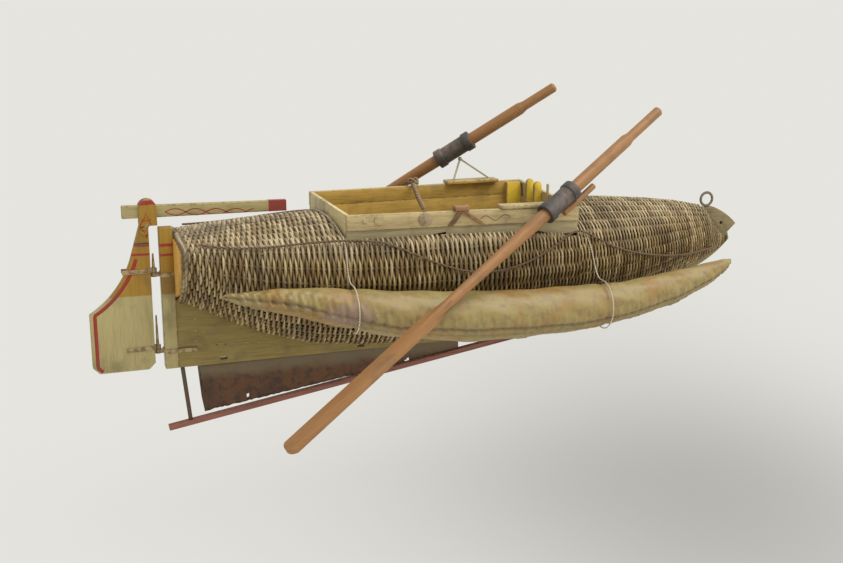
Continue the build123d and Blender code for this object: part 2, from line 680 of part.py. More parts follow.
def oar_shape(pose):
    """Turned grip, loom and spine along the local Z axis, with a flat blade at the low end."""
    tip = -pose.blade_side
    neck = tip + BLADE_LENGTH
    shoulder = pose.grip_side - pose.grip_length
    turned = Polyline(
        (0, tip + SPINE_REACH),
        (SPINE_TIP_R, tip + SPINE_REACH),
        (NECK_R, neck),
        (LOOM_R, -SLEEVE_LENGTH),
        (LOOM_R, shoulder - SHOULDER_LENGTH),
        (GRIP_R, shoulder),
        (GRIP_R, pose.grip_side - GRIP_CHAMFER),
        (GRIP_R - GRIP_CHAMFER, pose.grip_side),
        (0, pose.grip_side),
        close=True,
    )
    stick = revolve(Plane.XZ * make_face(turned), Axis.Z)
    wide = neck - BLADE_SHOULDER
    outline = [
        Line((-BLADE_NECK_HALF, neck), (BLADE_NECK_HALF, neck)),
        Line((BLADE_NECK_HALF, neck), (BLADE_HALF, wide)),
        Line((BLADE_HALF, wide), (BLADE_HALF, tip + BLADE_END_R)),
        ThreePointArc((BLADE_HALF, tip + BLADE_END_R), (0, tip), (-BLADE_HALF, tip + BLADE_END_R)),
        Line((-BLADE_HALF, tip + BLADE_END_R), (-BLADE_HALF, wide)),
        Line((-BLADE_HALF, wide), (-BLADE_NECK_HALF, neck)),
    ]
    return stick + xz_plate(outline, BLADE_HALF_THICK * 2)


def make_oars():
    for pose in OARS:
        plane = oar_plane(pose)
        add(f"oar_{pose.name}", plane * oar_shape(pose))

        bore = LOOM_R + SLEEVE_GAP
        sleeve = Cylinder(bore + SLEEVE_WALL, SLEEVE_LENGTH)
        for end in (-1, 1):
            place = end * (SLEEVE_LENGTH / 2 + COLLAR_LENGTH / 2 - 1)
            sleeve += Pos(0, 0, place) * Cylinder(bore + COLLAR_WALL, COLLAR_LENGTH)
        sleeve -= Cylinder(bore, SLEEVE_LENGTH + 4 * COLLAR_LENGTH)
        add(f"sleeve_{pose.name}", plane * sleeve)
    make_splint(OARS[0])


def make_splint(pose):
    """Round stick bound into the sleeve beside the loom."""
    axis = Vector(*pose.toward).normalized()
    away = Vector(*SPLINT_SIDE)
    away = (away - axis * away.dot(axis)).normalized()
    reach = LOOM_R + SLEEVE_GAP + COLLAR_WALL + SPLINT_R + SEAT_GAP
    start = Vector(*pose.centre) + away * reach
    middle = start + axis * (SPLINT_LENGTH / 2)
    add("sleeve_splint_starboard", Plane(origin=middle, z_dir=axis) * Cylinder(SPLINT_R, SPLINT_LENGTH))


def knot_centre(pose):
    axis = Vector(*pose.toward).normalized()
    seat = Vector(*pose.seat)
    seat = (seat - axis * seat.dot(axis)).normalized()
    reach = LOOM_R + SLEEVE_GAP + SLEEVE_WALL + SEAT_GAP + KNOT_R
    return Vector(*pose.centre) + seat * reach


def knot_profile():
    """Half outline of the round knot, in five straight steps from pole to pole."""
    turns = [math.radians(36 * step - 90) for step in range(6)]
    return [(KNOT_R * math.cos(turn), KNOT_R * math.sin(turn)) for turn in turns]


def make_oar_seats():
    starboard, port = OARS
    knot = knot_centre(starboard)
    edge = -(knot.Y + KNOT_R + SEAT_GAP)
    rows = zip(RAILS, (THOLE_PORT_XS, THOLE_STARBOARD_XS), (THOLE_PORT_OUTER, edge))
    for rail, ends, outer in rows:
        low = lambda x: rail_top(rail, x)
        high = lambda x: rail_top(rail, x) + THOLE_THICK
        add(f"thole_board_{rail.name}", side_plank(rail, *ends, low, high, THOLE_INNER, outer))
    for pose in OARS:
        half = Plane.XZ * make_face(Polyline(*knot_profile(), close=True))
        add(f"oar_knot_{pose.name}", Pos(*knot_centre(pose)) * revolve(half, Axis.Z))
    knot = knot_centre(port)
    for number, (x, y) in enumerate(LASHING_FEET, 1):
        top_z = rail_top(RAILS[0], x) + THOLE_THICK + SEAT_GAP
        foot = Vector(x, y, top_z)
        run = knot - foot
        length = run.length
        cord = Plane(origin=foot + run * 0.5, z_dir=run) * Cylinder(LASHING_R, length)
        reach = LASHING_TRIM
        below = box_between((x - reach, y - reach, top_z - reach), (x + reach, y + reach, top_z))
        add(f"oar_lashing_{number}", cord - Pos(*knot) * Sphere(KNOT_R + SEAT_GAP) - below)


def make_bow_ring():
    wire = Plane.XZ * Pos(RING_R, 0) * RegularPolygon(RING_WIRE_R, 6)
    ring = revolve(wire, Axis.Z)
    ring_z = RING_SEAT_Z + SEAT_GAP + RING_R + RING_WIRE_R
    add("bow_ring", Pos(RING_X, 0, ring_z) * Rot(90, 0, 0) * ring)


def cord_path(points):
    """Straight runs joined by tangent arcs, each arc using less than half of the shorter run beside it."""
    corners = [Vector(*point) for point in points]
    edges = []
    radii = []
    start = corners[0]
    for before, corner, after in zip(corners, corners[1:], corners[2:]):
        back = before - corner
        ahead = after - corner
        reach = CORD_CORNER_SHARE * min(back.length, ahead.length)
        back, ahead = back.normalized(), ahead.normalized()
        half_open = math.acos(max(-1, min(1, back.dot(ahead)))) / 2
        radius = reach * math.tan(half_open)
        inward = (back + ahead).normalized()
        middle = corner + inward * (reach / math.cos(half_open) - radius)
        arc_start, arc_end = corner + back * reach, corner + ahead * reach
        edges += [Line(start, arc_start), ThreePointArc(arc_start, middle, arc_end)]
        radii.append(radius)
        start = arc_end
    edges.append(Line(start, corners[-1]))
    return Wire([edge for line in edges for edge in line.edges()]), radii


def add_cord(name, points, radius):
    path, radii = cord_path(points)
    start, direction = Vector(*points[0]), Vector(*points[1]) - Vector(*points[0])
    section = Plane(origin=start, z_dir=direction) * RegularPolygon(radius, CORD_SIDES)
    add(name, sweep(section, path=path))
    print(f"{name}: {path.length:.0f} mm long, tightest bend {min(radii):.1f} mm")


def make_cords():
    """A lifeline along each side and two ties that cross the deck and go round both floats."""
    for name, side in (("port", 1), ("starboard", -1)):
        add_cord(f"lifeline_{name}", [(x, y * side, z) for x, y, z in LIFELINE], LIFELINE_R)
    for name, half in TIES.items():
        starboard = [(x, -y, z) for x, y, z in reversed(half[1:])]
        add_cord(f"tie_cord_{name}", starboard + half, TIE_R)


def build():
    outer = hull_outer()
    hollow = hull_hollow()
    make_hull(outer, hollow)
    make_backbone(outer)
    make_stern()
    make_coaming()
    make_lashings()
    make_inside(hollow)
    make_rudder()
    make_rudder_irons()
    make_drop_keel()
    make_floats()
    make_oars()
    make_oar_seats()
    make_bow_ring()
    make_cords()


build()
os.makedirs("parts", exist_ok=True)
for node_name, node_shape in NODES.items():
    export_step(node_shape, f"parts/{node_name}.step")
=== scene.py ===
"""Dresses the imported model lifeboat: woven hull, leather floats, painted boards, oars and cords."""
import json
import math
import random

import bmesh
import bpy
from mathutils import Matrix, Vector
from mathutils.bvhtree import BVHTree


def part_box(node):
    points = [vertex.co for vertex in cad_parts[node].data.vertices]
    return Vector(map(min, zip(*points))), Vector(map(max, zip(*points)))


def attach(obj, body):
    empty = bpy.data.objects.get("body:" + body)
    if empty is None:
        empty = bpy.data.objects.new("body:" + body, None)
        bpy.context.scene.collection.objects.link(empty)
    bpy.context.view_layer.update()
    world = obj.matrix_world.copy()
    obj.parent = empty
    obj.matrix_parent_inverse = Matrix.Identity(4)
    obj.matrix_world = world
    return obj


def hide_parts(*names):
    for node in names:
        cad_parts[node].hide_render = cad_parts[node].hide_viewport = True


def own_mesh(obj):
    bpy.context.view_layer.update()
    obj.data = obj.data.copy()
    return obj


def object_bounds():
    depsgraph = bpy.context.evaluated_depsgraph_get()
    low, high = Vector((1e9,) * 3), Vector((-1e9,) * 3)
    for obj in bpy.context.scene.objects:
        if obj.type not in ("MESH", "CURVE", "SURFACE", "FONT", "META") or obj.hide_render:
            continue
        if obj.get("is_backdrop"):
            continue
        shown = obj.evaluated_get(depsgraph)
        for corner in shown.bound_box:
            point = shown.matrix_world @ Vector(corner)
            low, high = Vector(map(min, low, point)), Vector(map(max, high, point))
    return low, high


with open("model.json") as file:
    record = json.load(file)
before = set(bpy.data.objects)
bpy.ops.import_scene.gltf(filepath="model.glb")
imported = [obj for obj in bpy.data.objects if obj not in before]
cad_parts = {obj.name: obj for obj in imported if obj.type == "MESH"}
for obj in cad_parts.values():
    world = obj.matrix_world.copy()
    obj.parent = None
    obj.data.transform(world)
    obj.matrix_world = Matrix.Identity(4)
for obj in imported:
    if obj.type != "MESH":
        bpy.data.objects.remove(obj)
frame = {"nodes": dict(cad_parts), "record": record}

bl_info = {
    "name": "Wickerwork Lifeboat",
    "version": (1, 0, 0),
    "blender": (4, 5, 0),
    "location": "View3D > Sidebar > Lifeboat",
    "description": "Builds the surfaces of a model lifeboat over its packed frame",
    "category": "Object",
}

MM = 0.001
STARBOARD = -1
PORT = 1
SIDES = ((STARBOARD, "starboard"), (PORT, "port"))
ALONG = (1, 0, 0)
ACROSS = (0, 1, 0)
UPRIGHT = (0, 0, 1)

HULL_BODY = "hull"
HULL_CENTRE_Z = 0.010
STERN_X = -0.2385
BOW_X = 0.3465
WELD_DISTANCE = 2e-6
FLAT_ANGLE = math.radians(0.5)


def srgb(red, green, blue):
    """Linear colour of a screen colour given from 0 to 255."""
    values = []
    for value in (red, green, blue):
        value /= 255
        values.append(value / 12.92 if value <= 0.04045 else ((value + 0.055) / 1.055) ** 2.4)
    return tuple(values)


def colour_setting(name, description, *colour):
    return bpy.props.FloatVectorProperty(
        name=name, description=description, default=srgb(*colour), subtype="COLOR", size=3, min=0, max=1
    )


def length_setting(name, description, default):
    return bpy.props.FloatProperty(name=name, description=description, default=default, unit="LENGTH")


def number_setting(name, description, default):
    return bpy.props.FloatProperty(name=name, description=description, default=default)


def limited(value):
    """A value held between 0 and 1."""
    return max(0.0, min(1.0, value))


def bell(distance, width):
    """1 at no distance, and falling off smoothly over a width."""
    return math.exp(-(distance / width) ** 2)


# Pieces and meshes


def linked(name, data):
    """A new object in the scene that shows a mesh, curve, lamp or camera."""
    made = bpy.data.objects.new(name, data)
    bpy.context.collection.objects.link(made)
    return made


def finish_piece(name, bm, body, materials, smooth_angle=35):
    """Turns a bmesh into a piece that rides on a body, smooth up to an angle in degrees."""
    mesh = bpy.data.meshes.new(name)
    bm.to_mesh(mesh)
    bm.free()
    mesh.shade_smooth()
    mesh.set_sharp_from_angle(angle=math.radians(smooth_angle))
    for material in materials:
        mesh.materials.append(material)
    piece = linked(name, mesh)
    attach(piece, body)
    return piece


def merged_mesh(node, flatten=True):
    """A bmesh of a node with its loose triangles joined and its flat faces made whole."""
    bm = bmesh.new()
    bm.from_mesh(frame["nodes"][node].data)
    bmesh.ops.remove_doubles(bm, verts=bm.verts, dist=WELD_DISTANCE)
    if flatten:
        bmesh.ops.dissolve_limit(
            bm, angle_limit=FLAT_ANGLE, use_dissolve_boundaries=False, verts=bm.verts, edges=bm.edges
        )
    return bm


def write_grain(bm, along):
    """Stores each vertex's place turned so that X runs along the grain."""
    along = Vector(along).normalized()
    across = along.orthogonal().normalized()
    turn = Matrix((along, across, along.cross(across)))
    layer = bm.verts.layers.float_vector.new("grain")
    for vert in bm.verts:
        vert[layer] = turn @ vert.co


def body_of_node(node):
    for body, nodes in frame["record"]["behaviour"]["bodies"].items():
        if node in nodes:
            return body
    raise ValueError(f"no body holds {node}")


def softened(node, material, radius=0.5 * MM, along=ALONG, segments=2, edge_angle=32):
    """A copy of a hard-edged node with rounded edges that carry a wear mark."""
    bm = merged_mesh(node)
    wear = bm.faces.layers.float.new("wear")
    sharp = [edge for edge in bm.edges if edge.calc_face_angle(0) > math.radians(edge_angle)]
    rounded = bmesh.ops.bevel(
        bm, geom=sharp, offset=radius, offset_type="OFFSET", segments=segments, profile=0.5,
        affect="EDGES", clamp_overlap=True, material=-1,
    )
    for face in rounded["faces"]:
        face[wear] = 1
    write_grain(bm, along)
    piece = finish_piece(f"dressed_{node}", bm, body_of_node(node), [material])
    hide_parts(node)


def recolour(node, material):
    """Gives a node that is shown as it is another material."""
    frame["nodes"][node].data.materials.clear()
    frame["nodes"][node].data.materials.append(material)


def tube_piece(name, routes, radius, material, kind="NURBS", sides=3):
    """A curve piece of round section on the hull, along one or more routes in metres."""
    curve = bpy.data.curves.new(name, "CURVE")
    curve.dimensions = "3D"
    curve.bevel_depth = radius
    curve.bevel_resolution = sides
    curve.resolution_u = 8
    curve.use_fill_caps = True
    curve.materials.append(material)
    for route in routes:
        spline = curve.splines.new(kind)
        spline.points.add(len(route) - 1)
        for point, place in zip(spline.points, route):
            point.co = (*place[:3], 1)
            if len(place) > 3:
                point.radius = place[3]
        if kind == "NURBS":
            spline.order_u = 3
            spline.use_endpoint_u = True
        spline.use_smooth = True
    piece = linked(name, curve)
    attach(piece, HULL_BODY)
    return piece


def thicken(piece, thickness, offset):
    wall = piece.modifiers.new("Thickness", "SOLIDIFY")
    wall.thickness = thickness
    wall.offset = offset


def wave_line(start, run, drop, swing, turns, count, phase=0.0):
    """Points of X and Z in millimetres along a wave that runs forward and falls."""
    points = []
    for number in range(count + 1):
        share = number / count
        height = swing * math.sin(share * math.tau * turns + phase)
        points.append((start[0] + run * share, start[1] - drop * share + height))
    return points


def projected_lines(name, node, routes, width, material, side):
    """Thin painted lines on a node's side, each along points of X and Z in millimetres."""
    outside = 0.3
    lift = 0.08 * MM
    skin = BVHTree.FromBMesh(merged_mesh(node))
    bm = bmesh.new()
    for route in routes:
        rows = []
        for number, spot in enumerate(route):
            before = Vector(route[max(number - 1, 0)])
            after = Vector(route[min(number + 1, len(route) - 1)])
            along = (after - before).normalized()
            across = Vector((-along.y, along.x)) * width / 2
            row = []
            for shift in (across, -across):
                place = (Vector(spot) + shift) * MM
                start = Vector((place.x, side * outside, place.y))
                found = skin.ray_cast(start, Vector((0, -side, 0)))[0]
                if found is not None:
                    row.append(bm.verts.new(found + Vector((0, side * lift, 0))))
            rows.append(row)
        for first, second in zip(rows, rows[1:]):
            if len(first) == 2 and len(second) == 2:
                bm.faces.new((first[0], first[1], second[1], second[0]))
    for face in bm.faces:
        face.normal_update()
        if face.normal.y * side < 0:
            face.normal_flip()
    loose = [vert for vert in bm.verts if not vert.link_faces]
    bmesh.ops.delete(bm, geom=loose, context="VERTS")
    piece = finish_piece(name, bm, body_of_node(node), [material], 60)
    thicken(piece, 0.12 * MM, -1)


def studs(name, places, radius, facing, body, material, slot, height=0.45):
    """Low domed heads, each at a place in millimetres, facing one way."""
    bm = bmesh.new()
    turn = Vector((0, 0, 1)).rotation_difference(Vector(facing)).to_matrix().to_4x4()
    for place in places:
        at = Matrix.Translation(Vector(place) * MM) @ turn @ Matrix.Diagonal((1, 1, height, 1))
        bmesh.ops.create_uvsphere(bm, u_segments=12, v_segments=8, radius=radius, matrix=at)
    finish_piece(name, bm, body, [material], 60)


# Shader nodes


def place_node(tree, kind, inputs=None, **settings):
    """Adds a node. An input, by name or number, is a value or another node's socket."""
    made = tree.nodes.new(kind)
    for name, value in settings.items():
        setattr(made, name, value)
    for name, value in (inputs or {}).items():
        feed(tree, made.inputs[name], value)
    return made


def feed(tree, socket, value):
    """Links a socket to another node's socket, or gives it a value."""
    if isinstance(value, bpy.types.NodeSocket):
        tree.links.new(value, socket)
    elif socket.type == "RGBA":
        socket.default_value = (*value[:3], 1)
    else:
        socket.default_value = value


def calc(tree, operation, first, second=0.0, clamp=False):
    made = place_node(tree, "ShaderNodeMath", {0: first, 1: second}, operation=operation, use_clamp=clamp)
    return made.outputs[0]


def times(tree, first, second, clamp=False):
    return calc(tree, "MULTIPLY", first, second, clamp)


def plus(tree, first, second):
    return calc(tree, "ADD", first, second)


def minus(tree, first, second):
    return calc(tree, "SUBTRACT", first, second)


def shade_mix(tree, factor, first, second, blend="MIX"):
    """Mixes two colours by a factor that is a value or a socket."""
    inputs = {0: factor, 6: first, 7: second}
    return place_node(tree, "ShaderNodeMix", inputs, data_type="RGBA", blend_type=blend).outputs[2]


def darkened(tree, shade, tint):
    return shade_mix(tree, 1.0, shade, tint, "MULTIPLY")


def step_up(tree, value, low, high):
    """A smooth climb from 0 to 1 as a value goes from low to high."""
    inputs = {"Value": value, "From Min": low, "From Max": high}
    made = place_node(tree, "ShaderNodeMapRange", inputs, interpolation_type="SMOOTHSTEP")
    return made.outputs["Result"]


def vary_roughness(tree, shader, mask, low, high):
    """Makes a surface rougher where a mask is high."""
    spread = place_node(tree, "ShaderNodeMapRange", {"Value": mask, "To Min": low, "To Max": high})
    feed(tree, shader.inputs["Roughness"], spread.outputs["Result"])


def noise(tree, vector, scale, detail=3.0, roughness=0.55):
    inputs = {"Vector": vector, "Scale": scale, "Detail": detail, "Roughness": roughness}
    return place_node(tree, "ShaderNodeTexNoise", inputs).outputs["Fac"]


def stretched_noise(tree, vector, scales, detail):
    """Noise with a scale of its own on each axis."""
    mapped = place_node(tree, "ShaderNodeMapping", {"Vector": vector, "Scale": scales})
    return noise(tree, mapped.outputs["Vector"], 1.0, detail)


def wander(tree, coords, scale, reach):
    """A slow drift to both sides of 0, over a reach in metres."""
    return times(tree, minus(tree, noise(tree, coords, scale), 0.5), reach)


def axes(tree, vector):
    return place_node(tree, "ShaderNodeSeparateXYZ", {0: vector}).outputs


def coordinates(tree, kind="Object"):
    return tree.nodes.new("ShaderNodeTexCoord").outputs[kind]


def attribute(tree, name, output="Vector"):
    return place_node(tree, "ShaderNodeAttribute", attribute_name=name).outputs[output]


def use_group(tree, group, **inputs):
    return place_node(tree, "ShaderNodeGroup", inputs, node_tree=bpy.data.node_groups[group]).outputs


def grimed(tree, shade, coords, scale, strength, colour):
    """Dirt in clouds over half of a colour."""
    grime = use_group(tree, "Grime", Vector=coords, Scale=scale, Cover=0.5)
    return shade_mix(tree, times(tree, grime["Mask"], strength), shade, colour)


def set_bump(tree, shader, height, distance, strength=1.0):
    made = place_node(tree, "ShaderNodeBump", {"Height": height, "Distance": distance, "Strength": strength})
    feed(tree, shader.inputs["Normal"], made.outputs["Normal"])


# Node groups that several materials share


def wood_grain(tree, entry):
    fibres = stretched_noise(tree, entry["Vector"], (60, 900, 900), 4.0)
    patches = stretched_noise(tree, entry["Vector"], (25, 180, 180), 2.0)
    streaks = plus(tree, times(tree, fibres, 0.6), times(tree, patches, 0.4))
    return {"Streaks": streaks, "Height": fibres}


def grime_clouds(tree, entry):
    cloud = noise(tree, entry["Vector"], entry["Scale"], 6.0, 0.5)
    edge = minus(tree, 0.8, times(tree, entry["Cover"], 0.6))
    risen = times(tree, minus(tree, cloud, edge), 6.0, True)
    return {"Mask": risen, "Fine": noise(tree, entry["Vector"], 900.0)}


def edge_chips(tree, entry):
    chips = noise(tree, entry["Vector"], 260.0, 5.0, 0.65)
    level = minus(tree, 0.75, times(tree, entry["Cover"], 0.4))
    broken = times(tree, minus(tree, chips, level), 12.0, True)
    return {"Mask": times(tree, broken, entry["Wear"], True)}


def leather_pebbles(tree, entry):
    inputs = {"Vector": entry["Vector"], "Scale": entry["Scale"]}
    cells = place_node(tree, "ShaderNodeTexVoronoi", inputs, feature="DISTANCE_TO_EDGE")
    pebbles = step_up(tree, cells.outputs["Distance"], 0.0, 0.35)
    return {"Height": pebbles, "Creases": noise(tree, entry["Vector"], 140.0, 6.0, 0.7)}


def cord_lay(tree, entry):
    parts = axes(tree, entry["Vector"])
    reach = plus(tree, parts["X"], times(tree, parts["Y"], 0.9))
    reach = plus(tree, reach, times(tree, parts["Z"], 1.1))
    wave = calc(tree, "SINE", times(tree, times(tree, reach, entry["Turns"]), math.tau))
    return {"Lay": plus(tree, times(tree, wave, 0.5), 0.5)}


def new_group(name, inputs, build):
    """A node group: a vector and named numbers go in, and what build makes of them comes out."""
    tree = bpy.data.node_groups.new(name, "ShaderNodeTree")
    tree.interface.new_socket("Vector", in_out="INPUT", socket_type="NodeSocketVector")
    for title, default in inputs.items():
        made = tree.interface.new_socket(title, in_out="INPUT", socket_type="NodeSocketFloat")
        made.default_value = default
    results = build(tree, tree.nodes.new("NodeGroupInput").outputs)
    for title in results:
        tree.interface.new_socket(title, in_out="OUTPUT", socket_type="NodeSocketFloat")
    end = tree.nodes.new("NodeGroupOutput")
    for title, value in results.items():
        tree.links.new(value, end.inputs[title])


def build_groups():
    new_group("Wood Grain", {}, wood_grain)
    new_group("Grime", {"Scale": 60.0, "Cover": 0.5}, grime_clouds)
    new_group("Edge Wear", {"Wear": 0.0, "Cover": 0.6}, edge_chips)
    new_group("Leather Grain", {"Scale": 1200.0}, leather_pebbles)
    new_group("Cord Twist", {"Turns": 60.0}, cord_lay)


# Materials


def empty_tree(owner, output):
    """Clears the nodes of a material or a world and adds its output."""
    owner.use_nodes = True
    owner.node_tree.nodes.clear()
    return owner.node_tree, owner.node_tree.nodes.new(output).inputs["Surface"]


def new_material(name, roughness):
    material = bpy.data.materials.new(name)
    tree, surface = empty_tree(material, "ShaderNodeOutputMaterial")
    shader = place_node(tree, "ShaderNodeBsdfPrincipled", {"Roughness": roughness})
    tree.links.new(shader.outputs[0], surface)
    return material, tree, shader


def painted_wood(
    name, base, levels=(), bands=(), streak_depth=0.35, roughness=0.55, worn=None, inner=None, until=1.0
):
    """
    Paint on wood with grain, grime and chipped edges.

    Levels and bands are colours by height in millimetres. The inner colour lies on the faces
    that look towards the centre plane, as far forward as until.
    """
    material, tree, shader = new_material(name, roughness)
    coords = coordinates(tree)
    spot = axes(tree, coords)
    grain = use_group(tree, "Wood Grain", Vector=attribute(tree, "grain"))
    height = plus(tree, spot["Z"], wander(tree, coords, 120.0, 2.0 * MM))
    shade = base
    for level, colour in levels:
        above = step_up(tree, height, (level - 0.6) * MM, (level + 0.6) * MM)
        shade = shade_mix(tree, above, shade, colour)
    for low, high, colour in bands:
        rising = step_up(tree, height, (low - 0.3) * MM, (low + 0.3) * MM)
        falling = step_up(tree, height, (high + 0.3) * MM, (high - 0.3) * MM)
        shade = shade_mix(tree, times(tree, rising, falling), shade, colour)
    if inner is not None:
        facing = axes(tree, coordinates(tree, "Normal"))
        inward = times(tree, times(tree, facing["Y"], calc(tree, "SIGN", spot["Y"])), -1.0)
        behind = step_up(tree, spot["X"], until + 0.3 * MM, until - 0.3 * MM)
        shade = shade_mix(tree, times(tree, step_up(tree, inward, 0.5, 0.8), behind), shade, inner)
    streaks = times(tree, step_up(tree, grain["Streaks"], 0.4, 0.7), streak_depth)
    shade = shade_mix(tree, streaks, shade, darkened(tree, shade, (0.42, 0.38, 0.34)))
    grime = use_group(tree, "Grime", Vector=coords, Scale=38.0, Cover=0.45)
    shade = shade_mix(tree, times(tree, grime["Mask"], 0.45), shade, srgb(92, 82, 60))
    light = shade_mix(tree, 0.5, shade, (0.75, 0.72, 0.6))
    speck = step_up(tree, grime["Fine"], 0.58, 0.75)
    shade = shade_mix(tree, times(tree, speck, 0.12), shade, light)
    wear = use_group(tree, "Edge Wear", Vector=coords, Wear=attribute(tree, "wear", "Fac"))
    shade = shade_mix(tree, wear["Mask"], shade, worn or srgb(120, 92, 62))
    feed(tree, shader.inputs["Base Color"], shade)
    vary_roughness(tree, shader, grain["Streaks"], roughness - 0.12, roughness + 0.2)
    feed(tree, shader.inputs["Specular IOR Level"], 0.3)
    set_bump(tree, shader, grain["Height"], 0.15 * MM, 0.6)
    return material


def cane_material(name, paint, level=1.0):
    """Split cane, greyer on the deck and yellower on the sides, each strand its own shade."""
    material, tree, shader = new_material(name, 0.6)
    coords = coordinates(tree)
    height = plus(tree, axes(tree, coords)["Z"], wander(tree, coords, 30.0, 30 * MM))
    deck = step_up(tree, height, 30 * MM, 56 * MM)
    shade = shade_mix(tree, deck, paint.cane_side, paint.cane_deck)
    # The level darkens the whole cane: painted shade on the stakes, and a darker border cane.
    shade = darkened(tree, shade, (level, level, level))
    strand = stretched_noise(tree, coords, (420, 22, 22), 2.0)
    dark = darkened(tree, shade, (0.45, 0.4, 0.34))
    light = shade_mix(tree, 0.6, shade, (0.66, 0.58, 0.38))
    shade = shade_mix(tree, step_up(tree, strand, 0.62, 0.4), shade, dark)
    shade = shade_mix(tree, times(tree, step_up(tree, strand, 0.5, 0.72), 0.7), shade, light)
    shade = grimed(tree, shade, coords, 26.0, 0.5, srgb(84, 74, 56))
    fibre = stretched_noise(tree, coords, (1500, 240, 240), 3.0)
    shade = shade_mix(tree, times(tree, step_up(tree, fibre, 0.5, 0.75), 0.3), shade, dark)
    feed(tree, shader.inputs["Base Color"], shade)
    set_bump(tree, shader, fibre, 0.2 * MM, 0.5)
    return material


def weave_shadow_material():
    """Dark sheet behind the weave: painted shade in the gaps between the strands."""
    material, tree, shader = new_material("weave_shadow", 0.95)
    shade = shade_mix(tree, noise(tree, coordinates(tree), 300.0), srgb(44, 34, 22), srgb(72, 58, 38))
    feed(tree, shader.inputs["Base Color"], shade)
    return material


def lining_material():
    """Painted boards across the inside of the hull, joined edge to edge, and paler below."""
    material, tree, shader = new_material("cockpit_lining", 0.6)
    coords = coordinates(tree)
    parts = axes(tree, coords)
    height = plus(tree, parts["Z"], wander(tree, coords, 60.0, 3 * MM))
    level = step_up(tree, height, 26 * MM, 44 * MM)
    shade = shade_mix(tree, level, srgb(160, 142, 96), srgb(192, 154, 74))
    joint = calc(tree, "PINGPONG", plus(tree, parts["X"], 1.0), 9 * MM)
    seam = step_up(tree, joint, 0.5 * MM, 0.2 * MM)
    shade = shade_mix(tree, times(tree, seam, 0.75), shade, srgb(70, 62, 42))
    streaks = stretched_noise(tree, coords, (500, 500, 30), 4.0)
    darker = darkened(tree, shade, (0.6, 0.56, 0.46))
    shade = shade_mix(tree, times(tree, step_up(tree, streaks, 0.42, 0.7), 0.5), shade, darker)
    shade = grimed(tree, shade, coords, 34.0, 0.4, srgb(88, 78, 56))
    feed(tree, shader.inputs["Base Color"], shade)
    set_bump(tree, shader, minus(tree, streaks, seam), 0.3 * MM, 0.7)
    return material


def leather_material(name, base, stain, dark, fold_shade_depth=0.6, roughness=0.6, patch=None):
    """Creased leather, darker in its creases and sewn folds as painted shade, with spots of dirt and one
    soft patch of another colour where a centre and reach are given.
    """
    material, tree, shader = new_material(name, roughness)
    coords = coordinates(tree)
    grain = use_group(tree, "Leather Grain", Vector=coords, Scale=900.0)
    grime = use_group(tree, "Grime", Vector=coords, Scale=24.0, Cover=0.55)
    spots = use_group(tree, "Grime", Vector=coords, Scale=110.0, Cover=0.35)
    shade = shade_mix(tree, grime["Mask"], base, stain)
    # Darker in the grain's creases: painted shade.
    deep = times(tree, step_up(tree, grain["Creases"], 0.52, 0.4), fold_shade_depth)
    shade = shade_mix(tree, deep, shade, dark)
    shade = shade_mix(tree, times(tree, spots["Mask"], 0.6), shade, dark)
    # Darker where the seam is drawn in and the ties pinch: painted shade.
    fold_shade = times(tree, attribute(tree, "fold_shade", "Fac"), 0.75, True)
    shade = shade_mix(tree, fold_shade, shade, dark)
    if patch:
        centre, reach, colour = patch
        away = place_node(tree, "ShaderNodeVectorMath", {0: coords, 1: centre}, operation="SUBTRACT")
        inputs = {0: away.outputs[0], 1: reach}
        scaled = place_node(tree, "ShaderNodeVectorMath", inputs, operation="DIVIDE")
        length = place_node(tree, "ShaderNodeVectorMath", {0: scaled.outputs[0]}, operation="LENGTH")
        ragged = plus(tree, length.outputs["Value"], times(tree, grain["Creases"], 0.7))
        shade = shade_mix(tree, times(tree, step_up(tree, ragged, 1.35, 1.0), 0.8), shade, colour)
    feed(tree, shader.inputs["Base Color"], shade)
    vary_roughness(tree, shader, grain["Creases"], roughness - 0.12, roughness + 0.25)
    set_bump(tree, shader, plus(tree, times(tree, grain["Height"], 0.3), grain["Creases"]), 0.35 * MM, 0.55)
    return material


def cord_material(name, base, dark, turns):
    """Two-ply twisted cord: slanting strands with painted shade in the lays between them."""
    material, tree, shader = new_material(name, 0.85)
    coords = coordinates(tree)
    twist = use_group(tree, "Cord Twist", Vector=coords, Turns=turns)
    # The dark lays between the plies are painted shade; the grime adds the same dark colour as dirt.
    shade = shade_mix(tree, step_up(tree, twist["Lay"], 0.15, 0.6), dark, base)
    shade = grimed(tree, shade, coords, 150.0, 0.4, dark)
    feed(tree, shader.inputs["Base Color"], shade)
    set_bump(tree, shader, twist["Lay"], 0.35 * MM, 0.9)
    return material


def metal_material(name, base, rust, metallic=0.75):
    """Old metal, dull and rough under its rust."""
    material, tree, shader = new_material(name, 0.5)
    grime = use_group(tree, "Grime", Vector=coordinates(tree), Scale=160.0, Cover=0.62)
    feed(tree, shader.inputs["Base Color"], shade_mix(tree, grime["Mask"], base, rust))
    feed(tree, shader.inputs["Metallic"], times(tree, minus(tree, 1.0, grime["Mask"]), metallic))
    vary_roughness(tree, shader, grime["Mask"], 0.35, 0.8)
    set_bump(tree, shader, grime["Fine"], 0.12 * MM, 0.5)
    return material


# The shape of the hull


